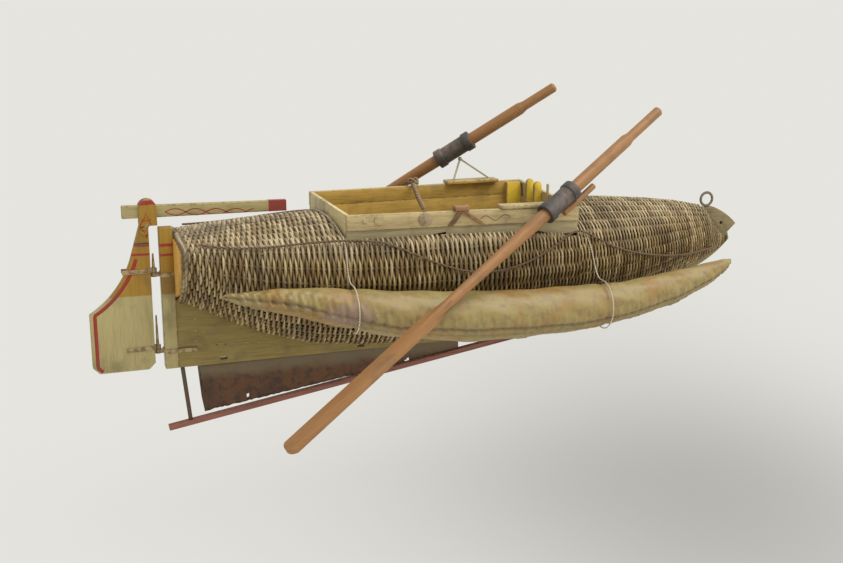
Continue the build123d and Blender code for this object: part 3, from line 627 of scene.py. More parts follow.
class HullSurface:
    """Looks up the hull's skin: a section at any station, its length and its places by arc length."""

    rays = 190
    reach = 0.2
    ridge = 1.2 * MM
    ridge_full_half = 0.02
    cockpit_margin = 0.006
    deck_half = 71.5 * MM
    deck_arc = 72.0 * MM
    side_top_z = 0.02
    plank_half = 4.6 * MM

    def __init__(self, stakes):
        bm = merged_mesh("hull_basket", flatten=False)
        self.tree = BVHTree.FromBMesh(bm)
        bm.free()
        low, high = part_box("coaming_rail_starboard")
        self.cockpit = (low[0], high[0])
        self.stakes = stakes
        self.known = {}

    def middle(self, x):
        """Height of a section's middle, which rises towards the bow."""
        if self.cockpit[0] - self.cockpit_margin < x < self.cockpit[1] + self.cockpit_margin:
            return HULL_CENTRE_Z
        beside = 0.2 * MM
        top = self.tree.ray_cast(Vector((x, beside, self.reach)), Vector((0, 0, -1)))[0]
        foot = self.tree.ray_cast(Vector((x, beside, -self.reach)), Vector((0, 0, 1)))[0]
        if top is None or foot is None:
            return HULL_CENTRE_Z
        return (top.z + foot.z) / 2

    def section(self, x):
        """Points and outward directions from the crown to the keel, lengths so far, and half breadth."""
        key = round(x, 6)
        if key in self.known:
            return self.known[key]
        middle = self.middle(x)
        centre = Vector((x, 0, middle))
        points = []
        for number in range(self.rays + 1):
            angle = math.pi * number / self.rays
            outward = Vector((0, math.sin(angle), math.cos(angle)))
            start = centre + outward * self.reach
            place, normal, _, _ = self.tree.ray_cast(start, -outward, self.reach - 1 * MM)
            if place is None or normal.dot(outward) < 0.05:
                continue
            if place.y < self.plank_half and place.z < middle:
                break
            points.append((place, Vector((0, normal.y, normal.z)).normalized()))
        broadest = max((place.y for place, _ in points), default=0.0)
        in_cockpit = self.cockpit[0] < x < self.cockpit[1]
        if in_cockpit:
            points = [row for row in points if row[0].y > self.deck_half or row[0].z < self.side_top_z]
        lengths = [self.deck_arc if in_cockpit else 0.0]
        for before, after in zip(points, points[1:]):
            lengths.append(lengths[-1] + (after[0] - before[0]).length)
        self.known[key] = (points, lengths, broadest)
        return self.known[key]

    def total(self, x):
        return self.section(x)[1][-1]

    def first(self, x):
        return self.section(x)[1][0]

    def at(self, x, length):
        """Place under the ridges and outward direction at an arc length from the crown, to port."""
        points, lengths, broadest = self.section(x)
        for number in range(1, len(lengths)):
            if lengths[number] >= length:
                span = lengths[number] - lengths[number - 1]
                share = (length - lengths[number - 1]) / span if span else 0
                place = points[number - 1][0].lerp(points[number][0], share)
                normal = points[number - 1][1].lerp(points[number][1], share).normalized()
                step = self.stakes * length / lengths[-1] - 0.5
                ridge = self.ridge * max(0.0, 1 - 2 * abs(step - round(step)))
                return place - normal * ridge * min(1.0, broadest / self.ridge_full_half), normal
        return points[-1]


def on_side(vector, side):
    return Vector((vector.x, vector.y * side, vector.z))


class BasketSettings(bpy.types.PropertyGroup):
    stakes_per_side: bpy.props.IntProperty(
        name="Stakes per Side", description="Lengthwise stakes on each side of the hull", default=15, min=4
    )
    points_per_stake: bpy.props.IntProperty(
        name="Points per Stake", description="Curve points of a strand from stake to stake", default=5, min=3
    )
    pitch_aft: length_setting("Pitch Aft", "Distance between strands in the after part", 0.0024)
    pitch_fore: length_setting("Pitch Forward", "Distance between strands in the fore part", 0.0019)
    change_x: length_setting("Change Station", "Where the strands become finer", 0.060)
    bulge: length_setting("Bulge", "How far a strand swings over and under the stakes", 0.0019)
    depth: length_setting("Depth", "How far the middle of the weave lies inside the solid hull", 0.0009)
    # The dark sheet at this depth is painted shade behind the weave.
    shade_sheet_depth: length_setting("Shade Sheet Depth", "How far the dark lining lies inside the hull", 0.0034)


def strand_stations(settings):
    """Stations of the strands from stern to bow, each with the pitch to the next."""
    x = STERN_X
    stations = []
    while x < BOW_X:
        pitch = settings.pitch_aft if x < settings.change_x else settings.pitch_fore
        stations.append((x, pitch))
        x += pitch
    return stations


def strand_side(hull, x, side, parity, settings, rng):
    """Points of one strand down one side, swinging over and under the stakes."""
    total = hull.total(x)
    first = hull.first(x)
    count = settings.stakes_per_side * settings.points_per_stake
    lean = rng.uniform(-0.08, 0.08) * MM
    full_length = 0.11
    roundness = 0.45
    deck_slope = 0.35
    deck_blend = 0.4
    deck_flattening = 0.35
    points = []
    for number in range(count + 1):
        step = number / settings.points_per_stake
        length = total * number / count
        if length < first:
            continue
        place, normal = hull.at(x, length)
        swing = math.cos(math.pi * (side * step - 0.5) + math.pi * parity)
        swing = math.copysign(abs(swing) ** roundness, swing)
        flat = limited((normal.z - deck_slope) / deck_blend)
        bulge = settings.bulge * min(1, total / full_length) * (1 - deck_flattening * flat)
        spot = on_side(place + normal * (bulge * swing - settings.depth), side)
        spot.x += lean + rng.uniform(-0.04, 0.04) * MM
        thick = 0.88 + 0.2 * max(0.0, swing) + 0.12 * flat
        points.append((*spot, rng.uniform(0.97, 1.03) * thick))
    return points


class LIFEBOAT_OT_basket(bpy.types.Operator):
    """Weaves the hull from strands round it over lengthwise stakes, with a dark sheet of painted shade
    behind them
    """

    bl_idname = "lifeboat.basket"
    bl_label = "Woven Hull"

    def execute(self, context):
        settings = context.scene.lifeboat_basket
        paint = context.scene.lifeboat_paint
        hull = HullSurface(settings.stakes_per_side)
        self.weave(hull, settings, cane_material("cane", paint))
        # The stakes' cane, darkened to half: painted shade for stakes that lie deep in the weave.
        self.drive_stakes(hull, settings, cane_material("shaded_stake_cane", paint, 0.5))
        self.braid_border(hull, cane_material("border_cane", paint, 0.55))
        self.line_hull(hull, settings)
        return {"FINISHED"}

    def weave(self, hull, settings, cane):
        """Strands in four pieces, each strand whole outside the cockpit and in two halves beside it."""
        rng = random.Random(4)
        stations = strand_stations(settings)
        parts = 4
        share = math.ceil(len(stations) / parts)
        for part in range(parts):
            routes = []
            for number in range(part * share, min((part + 1) * share, len(stations))):
                x, pitch = stations[number]
                size = pitch / settings.pitch_aft
                port = strand_side(hull, x, PORT, number % 2, settings, rng)
                starboard = strand_side(hull, x, STARBOARD, number % 2, settings, rng)
                if hull.first(x) > 0:
                    sides = [port, starboard]
                else:
                    sides = [list(reversed(port)) + starboard[1:]]
                for side in sides:
                    if len(side) > 2:
                        routes.append([(*point[:3], point[3] * size) for point in side])
            radius = settings.pitch_aft * 0.52
            tube_piece(f"strands_{part + 1}", routes, radius, cane, "POLY", 1)

    def drive_stakes(self, hull, settings, cane):
        """Lengthwise stakes under the strands, broken by the cockpit and finer at the bow."""
        start = -0.2395
        step = 0.006
        count = 98
        full_length = 0.16
        routes = []
        stations = [start + number * step for number in range(count)]
        for side in (PORT, STARBOARD):
            for stake in range(settings.stakes_per_side):
                route = []
                for x in stations:
                    total = hull.total(x)
                    length = total * (stake + 0.5) / settings.stakes_per_side
                    if length < hull.first(x) + 1 * MM:
                        if len(route) > 1:
                            routes.append(route)
                        route = []
                        continue
                    place, normal = hull.at(x, length)
                    spot = on_side(place - normal * (settings.depth + 0.3 * MM), side)
                    route.append((*spot, min(1, max(0.4, total / full_length))))
                if len(route) > 1:
                    routes.append(route)
        tube_piece("stakes", routes, 1.15 * MM, cane, "POLY", 1)

    def braid_border(self, hull, cane):
        """Two twisted strands round the edge of the stern."""
        lay = 14 * MM
        outward_swing = 1.5 * MM
        lengthwise_swing = 1.4 * MM
        inset = 0.4 * MM
        aft_shift = 0.6 * MM
        count = 260
        routes = []
        total = hull.total(STERN_X)
        for side in (PORT, STARBOARD):
            for strand in range(2):
                route = []
                for number in range(count + 1):
                    length = total * number / count
                    place, normal = hull.at(STERN_X, length)
                    turn = math.tau * (length / lay + strand / 2)
                    out = math.sin(turn) * outward_swing - inset
                    spot = on_side(place + normal * out, side)
                    spot.x += math.cos(turn) * lengthwise_swing - aft_shift
                    route.append((*spot, 1))
                routes.append(route)
        tube_piece("stern_border", routes, 2.2 * MM, cane, "POLY", 2)

    def line_hull(self, hull, settings):
        """Draws the outer skin in behind the weave as a dark sheet of painted shade, less beside the keel,
        and keeps the inner one.
        """
        same_place = 0.4 * MM
        keel_clear = 5 * MM
        keel_blend = 8 * MM
        bm = merged_mesh("hull_basket", flatten=False)
        skin = BVHTree.FromBMesh(bm)
        outside = []
        for vert in bm.verts:
            centre = Vector((vert.co.x, 0, hull.middle(vert.co.x)))
            outward = vert.co - centre
            if outward.length < 1e-4:
                continue
            outward.normalize()
            start = centre + outward * hull.reach
            place = skin.ray_cast(start, -outward, hull.reach)[0]
            if place is not None and (place - vert.co).length < same_place:
                share = 1.0
                if vert.co.z < 0:
                    share = limited((abs(vert.co.y) - keel_clear) / keel_blend)
                outside.append((vert, outward * share))
        for face in bm.faces:
            middle = face.calc_center_median()
            outward = middle - Vector((middle.x, 0, hull.middle(middle.x)))
            face.material_index = 0 if face.normal.dot(outward) > 0 else 1
        for vert, outward in outside:
            vert.co -= outward * settings.shade_sheet_depth
        # The outer faces wear the painted shade, the inner faces the cockpit's paint.
        materials = [weave_shadow_material(), lining_material()]
        lining = finish_piece("basket_lining", bm, HULL_BODY, materials, 30)
        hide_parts("hull_basket")


class PaintSettings(bpy.types.PropertyGroup):
    ochre: colour_setting("Ochre", "Upper paint of the post, rudder and thwarts", 158, 121, 42)
    green_grey: colour_setting("Green-grey", "Lower paint of the post, rudder and thwarts", 170, 156, 106)
    red: colour_setting("Red", "Stripes on the post, rudder and tiller", 150, 52, 40)
    yellow: colour_setting("Yellow", "Inside of the fore board", 255, 218, 74)
    orange: colour_setting("Orange", "Stern board", 216, 168, 84)
    rail: colour_setting("Rail", "Coaming rail", 192, 172, 124)
    board: colour_setting("Board", "Lower coaming board", 168, 154, 116)
    oar: colour_setting("Oar Wood", "Red-brown wood of the oars", 158, 114, 70)
    bar: colour_setting("Drop Keel", "Red paint of the drop keel's bar", 148, 96, 80)
    cane_side: colour_setting("Cane Side", "Cane on the sides", 168, 142, 90)
    cane_deck: colour_setting("Cane Deck", "Cane on the deck", 192, 172, 132)


class LeatherSettings(bpy.types.PropertyGroup):
    float_base: colour_setting("Float", "Leather of the floats", 150, 131, 78)
    float_stain: colour_setting("Float Stain", "Ochre stains on the floats", 150, 118, 62)
    # This colour is dirt in spots and painted shade in the folds, the seam groove and under the ties.
    float_dirt_and_shade: colour_setting("Float Dirt and Shade", "Dirt in the folds of the floats", 104, 88, 66)
    sleeve: colour_setting("Sleeve", "Leather of the oar sleeves", 70, 66, 62)
    web: colour_setting("Web", "Leather between keel and drop keel", 100, 64, 34)
    web_edge: colour_setting("Web Edge", "Worn upper strip of that leather", 118, 106, 78)
    cloth_cell: length_setting("Cloth Cell", "Size of the cloth's cells on the floats", 0.005)
    swell_cap: length_setting("Swell Cap", "Furthest that the air moves the leather", 0.0024)
    pressure: number_setting("Air Pressure", "Pressure inside the floats", 4.0)


class LIFEBOAT_OT_woodwork(bpy.types.Operator):
    """Paints the backbone, the coaming, the rudder and the drop keel"""

    bl_idname = "lifeboat.woodwork"
    bl_label = "Woodwork"

    waterline = 0.5
    fore_board_x = 0.1325
    post_rings = ((45.5, 48.5), (36.7, 38.9))
    rudder_rings = ((46.8, 48.6), (38.3, 40.6), (85.1, 89.4))
    rudder_shadow = (48.9, 50.3)
    rudder_knob = (-267.4, 66.5)
    star_ring = 4.8
    star_points = (
        ((-271, 70.8), (-268, 73.5), (-266.8, 79), (-265.6, 73.5), (-262.6, 70.8)),
        ((-271, 62.2), (-268, 59.8), (-266.8, 54), (-265.6, 59.8), (-262.6, 62.2)),
    )
    stripe_top = 36
    stripe_step = 1.88
    stripe_inset = 4.6
    red_end_length = 17 * MM
    red_end_thickness = 0.12
    tiller_axis_z = 73.0 * MM
    # start, run, drop, swing, turns and steps of a wave
    tiller_wave = ((-249, 77.6), 82, 4.6, 3.0, 2.2, 60)
    rail_vine = ((34, 66), 30, 0, 2.4, 1.5, 40)

    def execute(self, context):
        paint = context.scene.lifeboat_paint
        ochre = [(self.waterline, paint.ochre)]
        post_bands = [(*ring, paint.red) for ring in self.post_rings]
        rudder_bands = [(*ring, paint.red) for ring in self.rudder_rings]
        rudder_bands.append((*self.rudder_shadow, srgb(70, 60, 44)))
        wall = srgb(206, 168, 84)
        post = painted_wood("post_paint", paint.green_grey, ochre, post_bands)
        keel = painted_wood("keel_paint", srgb(146, 127, 72), [(-8, paint.ochre)], streak_depth=0.5)
        rudder = painted_wood("rudder_paint", paint.green_grey, ochre, rudder_bands)
        stem = painted_wood("stem_paint", srgb(138, 124, 88), streak_depth=0.5)
        rail = painted_wood("rail_paint", paint.rail, streak_depth=0.55, inner=wall)
        board = painted_wood("board_paint", paint.board, streak_depth=0.5, inner=wall)
        fore = painted_wood(
            "fore_board_paint", paint.rail, streak_depth=0.3, inner=paint.yellow, until=self.fore_board_x
        )
        cream = painted_wood("aft_board_paint", srgb(214, 198, 148))
        inner = painted_wood("inner_paint", paint.green_grey, [(42, paint.ochre)])
        stern = painted_wood("stern_paint", paint.orange)
        bar = painted_wood("bar_paint", paint.bar, streak_depth=0.6)
        tiller = painted_wood("tiller_paint", paint.green_grey, streak_depth=0.4)
        boards = [
            ("sternpost", post, 0.5, UPRIGHT), ("deadwood", keel, 0.5, ALONG), ("keel", keel, 0.5, ALONG),
            ("drop_hinge_block", keel, 0.5, ALONG), ("stem", stem, 0.5, ALONG),
            ("rudder", rudder, 0.8, UPRIGHT),
        ]
        for side in ("port", "starboard"):
            boards.append((f"coaming_rail_{side}", rail, 0.9, ALONG))
            boards.append((f"coaming_board_{side}", board, 0.5, ALONG))
            boards.append((f"thole_board_{side}", rail, 0.8, ALONG))
        boards += [
            ("coaming_board_fore", fore, 0.7, ACROSS), ("coaming_board_aft", cream, 0.7, ACROSS),
            ("thwart_1", inner, 0.6, ACROSS), ("thwart_2", inner, 0.6, ACROSS),
            ("floor_boards", inner, 0.5, ALONG), ("transom_board", stern, 0.3, ALONG),
            ("drop_bar", bar, 0.9, ALONG),
        ]
        for node, material, radius, grain in boards:
            softened(node, material, radius * MM, grain)
        softened("tiller", tiller, 1.1 * MM, segments=3)
        self.dip_tiller()
        self.paint_lines(paint.red)
        return {"FINISHED"}

    def dip_tiller(self):
        """A thin red skin over the fore end of the tiller."""
        bm = merged_mesh("tiller")
        cut = (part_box("tiller")[1][0] - self.red_end_length, 0, 0)
        bmesh.ops.bisect_plane(
            bm, geom=[*bm.verts, *bm.edges, *bm.faces], plane_co=cut, plane_no=ALONG, clear_inner=True
        )
        rim = [edge for edge in bm.edges if edge.is_boundary]
        bmesh.ops.holes_fill(bm, edges=rim)
        for vert in bm.verts:
            axis = Vector((vert.co.x, 0, self.tiller_axis_z))
            vert.co += (vert.co - axis).normalized() * self.red_end_thickness * MM
        write_grain(bm, ALONG)
        dipped = painted_wood("tiller_end_paint", srgb(142, 62, 52))
        finish_piece("tiller_red_end", bm, "rudder_body", [dipped])

    def stripe(self):
        """Points down the rudder, inside its aft edge."""
        skin = BVHTree.FromBMesh(merged_mesh("rudder"))
        points = []
        for number in range(60):
            height = self.stripe_top - number * self.stripe_step
            found = skin.ray_cast(Vector((-0.5, 0, height * MM)), Vector((1, 0, 0)))[0]
            if found is not None:
                points.append((found.x / MM + self.stripe_inset, height))
        return points

    def paint_lines(self, red):
        """Twisted waves on the tiller, a star and a stripe on the rudder, and a vine on each rail."""
        paint = painted_wood("line_paint", red, streak_depth=0.3)
        faint = painted_wood("faint_line_paint", srgb(128, 78, 50), streak_depth=0.3)
        waves = [wave_line(*self.tiller_wave, phase) for phase in (0, math.pi)]
        ring = []
        for number in range(33):
            turn = math.tau * number / 32
            across = self.rudder_knob[0] + self.star_ring * math.cos(turn)
            ring.append((across, self.rudder_knob[1] + self.star_ring * math.sin(turn)))
        vine = wave_line(*self.rail_vine)
        stripe = self.stripe()
        for side, title in SIDES:
            projected_lines(f"tiller_wave_{title}", "tiller", waves, 0.9, paint, side)
            projected_lines(f"rudder_star_{title}", "rudder", [ring, *self.star_points], 0.8, paint, side)
            projected_lines(f"rudder_stripe_{title}", "rudder", [stripe], 3.2, paint, side)
            projected_lines(f"rail_vine_{title}", f"coaming_rail_{title}", [vine], 0.7, faint, side)


class LIFEBOAT_OT_ironwork(bpy.types.Operator):
    """Finishes the rudder irons, the rod, the ring and the small nails"""

    bl_idname = "lifeboat.ironwork"
    bl_label = "Ironwork"

    tacks = (
        (-226.6, -25.2), (-226.4, -37), (-226.8, -47.5), (-219.2, -53.8), (-207.5, -53.4),
        (-199, -53.9), (-189.5, -53.2), (-178, -53.6), (-166.8, -53.9),
    )
    tack_y = 4.5
    knob = (-266.8, 4.2, 66.5)
    nail = ((121.0, 30.0, 66.0), (120.2, 30.0, 78.5))
    nail_head = (120.1, 30.0, 78.8)

    def execute(self, context):
        iron = metal_material("old_iron", srgb(92, 82, 70), srgb(96, 66, 44))
        brass = metal_material("brass", srgb(172, 150, 108), srgb(118, 98, 68), 0.5)
        served = cord_material("served_ring", srgb(146, 134, 112), srgb(92, 82, 66), 500)
        for node in ("gudgeon_lower", "gudgeon_upper", "rudder_strap_lower", "rudder_strap_upper"):
            softened(node, brass, 0.2 * MM, edge_angle=40)
        for node in ("drop_rod", "drop_hinge_pin"):
            softened(node, iron, 0.15 * MM, edge_angle=50)
        softened("bow_ring", served, 0.15 * MM, edge_angle=50)
        x, y, z = self.knob
        for side, title in SIDES:
            on_rudder = ("rudder_body", brass, "painted_wood", 0.7)
            studs(f"rudder_knob_{title}", [(x, y * side, z)], 3.0 * MM, (0, side, 0), *on_rudder)
        nail = [Vector(point) * MM for point in self.nail]
        tube_piece("coaming_nail", [nail], 0.9 * MM, iron, "POLY", 2)
        studs("coaming_nail_head", [self.nail_head], 1.9 * MM, UPRIGHT, HULL_BODY, iron, "iron", 0.35)
        for side, title in SIDES:
            places = [(x, self.tack_y * side, z) for x, z in self.tacks]
            studs(f"tacks_{title}", places, 1.2 * MM, (0, side, 0), HULL_BODY, brass, "iron")
        return {"FINISHED"}


class LIFEBOAT_OT_oars(bpy.types.Operator):
    """Finishes the oars, their leather sleeves and the lashings that hold them"""

    bl_idname = "lifeboat.oars"
    bl_label = "Oars"

    def execute(self, context):
        oar = context.scene.lifeboat_paint.oar
        sleeve = context.scene.lifeboat_leather.sleeve
        wood = painted_wood("oar_wood", oar, worn=srgb(110, 92, 70), roughness=0.45)
        skin = leather_material("sleeve_leather", sleeve, srgb(132, 112, 96), srgb(52, 44, 40), 0.6, 0.55)
        cord = cord_material("white_cord", srgb(222, 212, 188), srgb(150, 134, 104), 400)
        joints = {joint["name"]: joint for joint in frame["record"]["behaviour"]["joints"]}
        for side in ("starboard", "port"):
            along = joints[f"oar_feather_{side}"]["axis"]
            softened(f"oar_{side}", wood, 0.5 * MM, along, edge_angle=40)
            softened(f"sleeve_{side}", skin, 0.5 * MM, along, edge_angle=40)
            softened(f"oar_knot_{side}", cord, 0.2 * MM)
        softened("sleeve_splint_starboard", wood, 0.4 * MM, joints["oar_feather_starboard"]["axis"])
        for node in ("oar_lashing_1", "oar_lashing_2"):
            recolour(node, cord)
        return {"FINISHED"}


class LIFEBOAT_OT_floats(bpy.types.Operator):
    """Swells the leather floats under their ties, with a seam along each"""

    bl_idname = "lifeboat.floats"
    bl_label = "Leather Floats"

    ties = (-0.0995, 0.151)
    tie_half = 4 * MM
    held_aft_x = -0.214
    held_fore_x = 0.312
    frames = 20
    slack = 1.2
    seam_width = 1.9 * MM
    second_seam = 7 * MM
    second_width = 1.6 * MM
    tie_width = 4.5 * MM
    pucker_reach = 14 * MM
    pucker_start = -0.04
    pucker_blend = 0.06
    patch_centre = (-0.108, -0.12, -0.004)
    patch_reach = (0.026, 0.05, 0.012)
    seam = (
        (-208, 5), (-174, 4), (-149, 3), (-124, -14), (-92, -21), (-61, -24), (-12, -21), (49, -22),
        (115, -31), (162, -31), (310, -20),
    )
    sections = (
        (-221, 70.3, 12, 1.5), (-165, 91.3, 8, 13), (-120, 99.3, 1, 18.3), (-65, 104.8, -9, 22.8),
        (0, 107.3, -17, 24.8), (65, 106.3, -20, 24.3), (125, 101.8, -21, 22.8), (180, 94.3, -20, 20.3),
        (235, 83.8, -15, 17.5), (285, 72.3, -6, 12.5), (321, 62.3, 2.5, 1.5),
    )

    def execute(self, context):
        leather = context.scene.lifeboat_leather
        patch = (self.patch_centre, self.patch_reach, srgb(140, 118, 100))
        colours = (leather.float_base, leather.float_stain, leather.float_dirt_and_shade)
        skin = leather_material("float_leather", *colours, 0.35, 0.42, patch)
        for side, name in SIDES:
            bm = merged_mesh(f"float_{name}", flatten=False)
            piece = finish_piece(f"float_skin_{name}", bm, HULL_BODY, [skin], 180)
            self.swell(context, piece, leather)
            self.sew(piece, side)
            piece.data.shade_smooth()
            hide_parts(f"float_{name}")
        return {"FINISHED"}

    def swell(self, context, piece, leather):
        """Makes an even skin, blows it up as cloth and smooths it."""
        self.apply_modifier(context, piece, "REMESH", mode="VOXEL", voxel_size=leather.cloth_cell)
        for vert in piece.data.vertices:
            vert.co -= vert.normal * self.slack * MM
        self.blow_up(context, piece, leather)
        self.apply_modifier(context, piece, "SUBSURF", levels=2, render_levels=2)

    def blow_up(self, context, piece, leather):
        """Moves the skin as a cloth under pressure would, held at the ties and at both ends."""
        held = piece.vertex_groups.new(name="held")
        for vert in piece.data.vertices:
            x = vert.co.x
            at_tie = min(abs(x - tie) for tie in self.ties) < self.tie_half
            if x < self.held_aft_x or x > self.held_fore_x or at_tie:
                held.add([vert.index], 1.0, "REPLACE")
        cloth = piece.modifiers.new("Cloth", "CLOTH")
        cloth.settings.use_pressure = True
        cloth.settings.uniform_pressure_force = leather.pressure
        cloth.settings.vertex_group_mass = "held"
        cloth.settings.effector_weights.gravity = 0
        cloth.point_cache.frame_start = 1
        cloth.point_cache.frame_end = self.frames
        for number in range(1, self.frames + 1):
            context.scene.frame_set(number)
        view = context.evaluated_depsgraph_get()
        places = [vert.co.copy() for vert in piece.evaluated_get(view).data.vertices]
        piece.modifiers.remove(cloth)
        piece.vertex_groups.clear()
        for vert, after in zip(piece.data.vertices, places):
            move = after - vert.co
            if move.length > leather.swell_cap:
                move *= leather.swell_cap / move.length
            vert.co += move
        context.scene.frame_set(1)

    def apply_modifier(self, context, piece, kind, **settings):
        modifier = piece.modifiers.new(kind, kind)
        for name, value in settings.items():
            setattr(modifier, name, value)
        view = context.evaluated_depsgraph_get()
        mesh = bpy.data.meshes.new_from_object(piece.evaluated_get(view), depsgraph=view)
        piece.modifiers.remove(modifier)
        piece.data = mesh

    def sew(self, piece, side):
        """Draws in the seam, the ties and the puckers of the after third."""
        layer = piece.data.attributes.new("fold_shade", "FLOAT", "POINT")
        for vert in piece.data.vertices:
            x, y, z = vert.co
            breadth, height, radius = self.middle(x)
            angle = math.degrees(math.atan2(z - height, (y * side - breadth)))
            away = math.radians(angle - self.between(self.seam, x)) * radius
            groove = bell(away, self.seam_width)
            second = bell(away + self.second_seam, self.second_width)
            pinch = sum(bell(x - tie, self.tie_width) for tie in self.ties)
            draw = (2.0 * groove + 0.8 * second + 1.2 * pinch) * MM
            # Painted shade in the seam's groove, along the second seam and where the ties pinch.
            layer.data[vert.index].value = min(1.0, groove * 0.8 + 0.4 * second + 0.25 * pinch)
            aft = limited((self.pucker_start - x) / self.pucker_blend)
            pucker = math.sin(x * 620 + math.sin(angle * 0.06) * 1.5)
            pucker += 0.6 * math.sin(x * 1130 + angle * 0.05)
            near = bell(away, self.pucker_reach)
            draw += (0.4 + 0.7 * aft) * MM * pucker * near * min(1, radius / (8 * MM))
            draw += 0.7 * MM * math.sin(x * 95 + angle * 0.04) * math.sin(angle * 0.07 + x * 40)
            inward = Vector((0, breadth * side - y, height - z))
            if inward.length > 2 * MM:
                vert.co += inward.normalized() * draw

    def middle(self, x):
        """Breadth and height of the middle of the float's own round section, and its radius."""
        columns = [[(row[0], row[part]) for row in self.sections] for part in (1, 2, 3)]
        return tuple(self.between(column, x) * MM for column in columns)

    def between(self, rows, x):
        """A value read off a table of stations in millimetres."""
        place = x / MM
        if place <= rows[0][0]:
            return rows[0][1]
        for (low, first), (high, second) in zip(rows, rows[1:]):
            if place <= high:
                return first + (second - first) * (place - low) / (high - low)
        return rows[-1][1]


class LIFEBOAT_OT_drop_web(bpy.types.Operator):
    """Hangs the leather sheet between the keel and the drop keel"""

    bl_idname = "lifeboat.drop_web"
    bl_label = "Leather Web"

    columns = 110
    rows = 12
    thickness = 0.9 * MM
    end_gap = 0.4 * MM
    tears = ((-0.1779, -0.1069), (-0.0153, -0.0893))
    tear_radius = 1.9 * MM

    def execute(self, context):
        leather = context.scene.lifeboat_leather
        skin = leather_material("web_leather", leather.web, srgb(78, 52, 32), srgb(46, 32, 22))
        self.fade_top(skin, leather.web_edge)
        low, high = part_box("drop_web")
        bm, flat_area = self.hang(low, high)
        self.tear(bm)
        piece = finish_piece("web_sheet", bm, HULL_BODY, [skin], 60)
        thicken(piece, self.thickness, 0)
        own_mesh(piece)
        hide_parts("drop_web")
        return {"FINISHED"}

    def fade_top(self, material, colour):
        """Mixes a worn olive strip into the upper part of the sheet."""
        tree = material.node_tree
        shader = next(node for node in tree.nodes if node.type == "BSDF_PRINCIPLED")
        shade = shader.inputs["Base Color"].links[0].from_socket
        coords = coordinates(tree)
        drift = times(tree, noise(tree, coords, 45.0), 14 * MM)
        upper = step_up(tree, plus(tree, axes(tree, coords)["Z"], drift), -84 * MM, -72 * MM)
        feed(tree, shader.inputs["Base Color"], shade_mix(tree, times(tree, upper, 0.7), shade, colour))

    def hang(self, low, high):
        """A swaying grid from the keel down to the solid's lower edge, ragged aft, and its flat area."""
        solid = BVHTree.FromBMesh(merged_mesh("drop_web"))
        rng = random.Random(9)
        bm = bmesh.new()
        grid = []
        flat_area = 0.0
        for column in range(self.columns + 1):
            share = column / self.columns
            x = low[0] + self.end_gap + (high[0] - low[0] - 2 * self.end_gap) * share
            foot = solid.ray_cast(Vector((x, 0, -0.3)), Vector((0, 0, 1)))[0]
            ragged = rng.uniform(0, 1.6) * MM * (1 - share) ** 2
            bottom = min(foot.z + ragged, high[2] - 0.3 * MM)
            flat_area += (high[2] - bottom) * (high[0] - low[0]) / (self.columns + 1)
            line = []
            for row in range(self.rows + 1):
                down = row / self.rows
                sway = math.sin(share * 40 + math.sin(share * 9)) * math.sin(math.pi * down)
                aft = (1 - share) * math.sin(math.pi * down * 1.4) * 0.4
                nick = rng.uniform(-1, 1) * MM if column == 0 else 0
                y = (sway * (0.3 + 0.6 * (1 - share)) + aft) * MM
                z = high[2] + (bottom - high[2]) * down
                line.append(bm.verts.new((x + abs(nick), y, z)))
            grid.append(line)
        for before, after in zip(grid, grid[1:]):
            for row in range(self.rows):
                bm.faces.new((before[row], before[row + 1], after[row + 1], after[row]))
        return bm, flat_area

    def tear(self, bm):
        holes = [Vector((x, 0, z)) for x, z in self.tears]
        torn = []
        for face in bm.faces:
            middle = face.calc_center_median()
            if min((Vector((middle.x, 0, middle.z)) - hole).length for hole in holes) < self.tear_radius:
                torn.append(face)
        bmesh.ops.delete(bm, geom=torn, context="FACES")


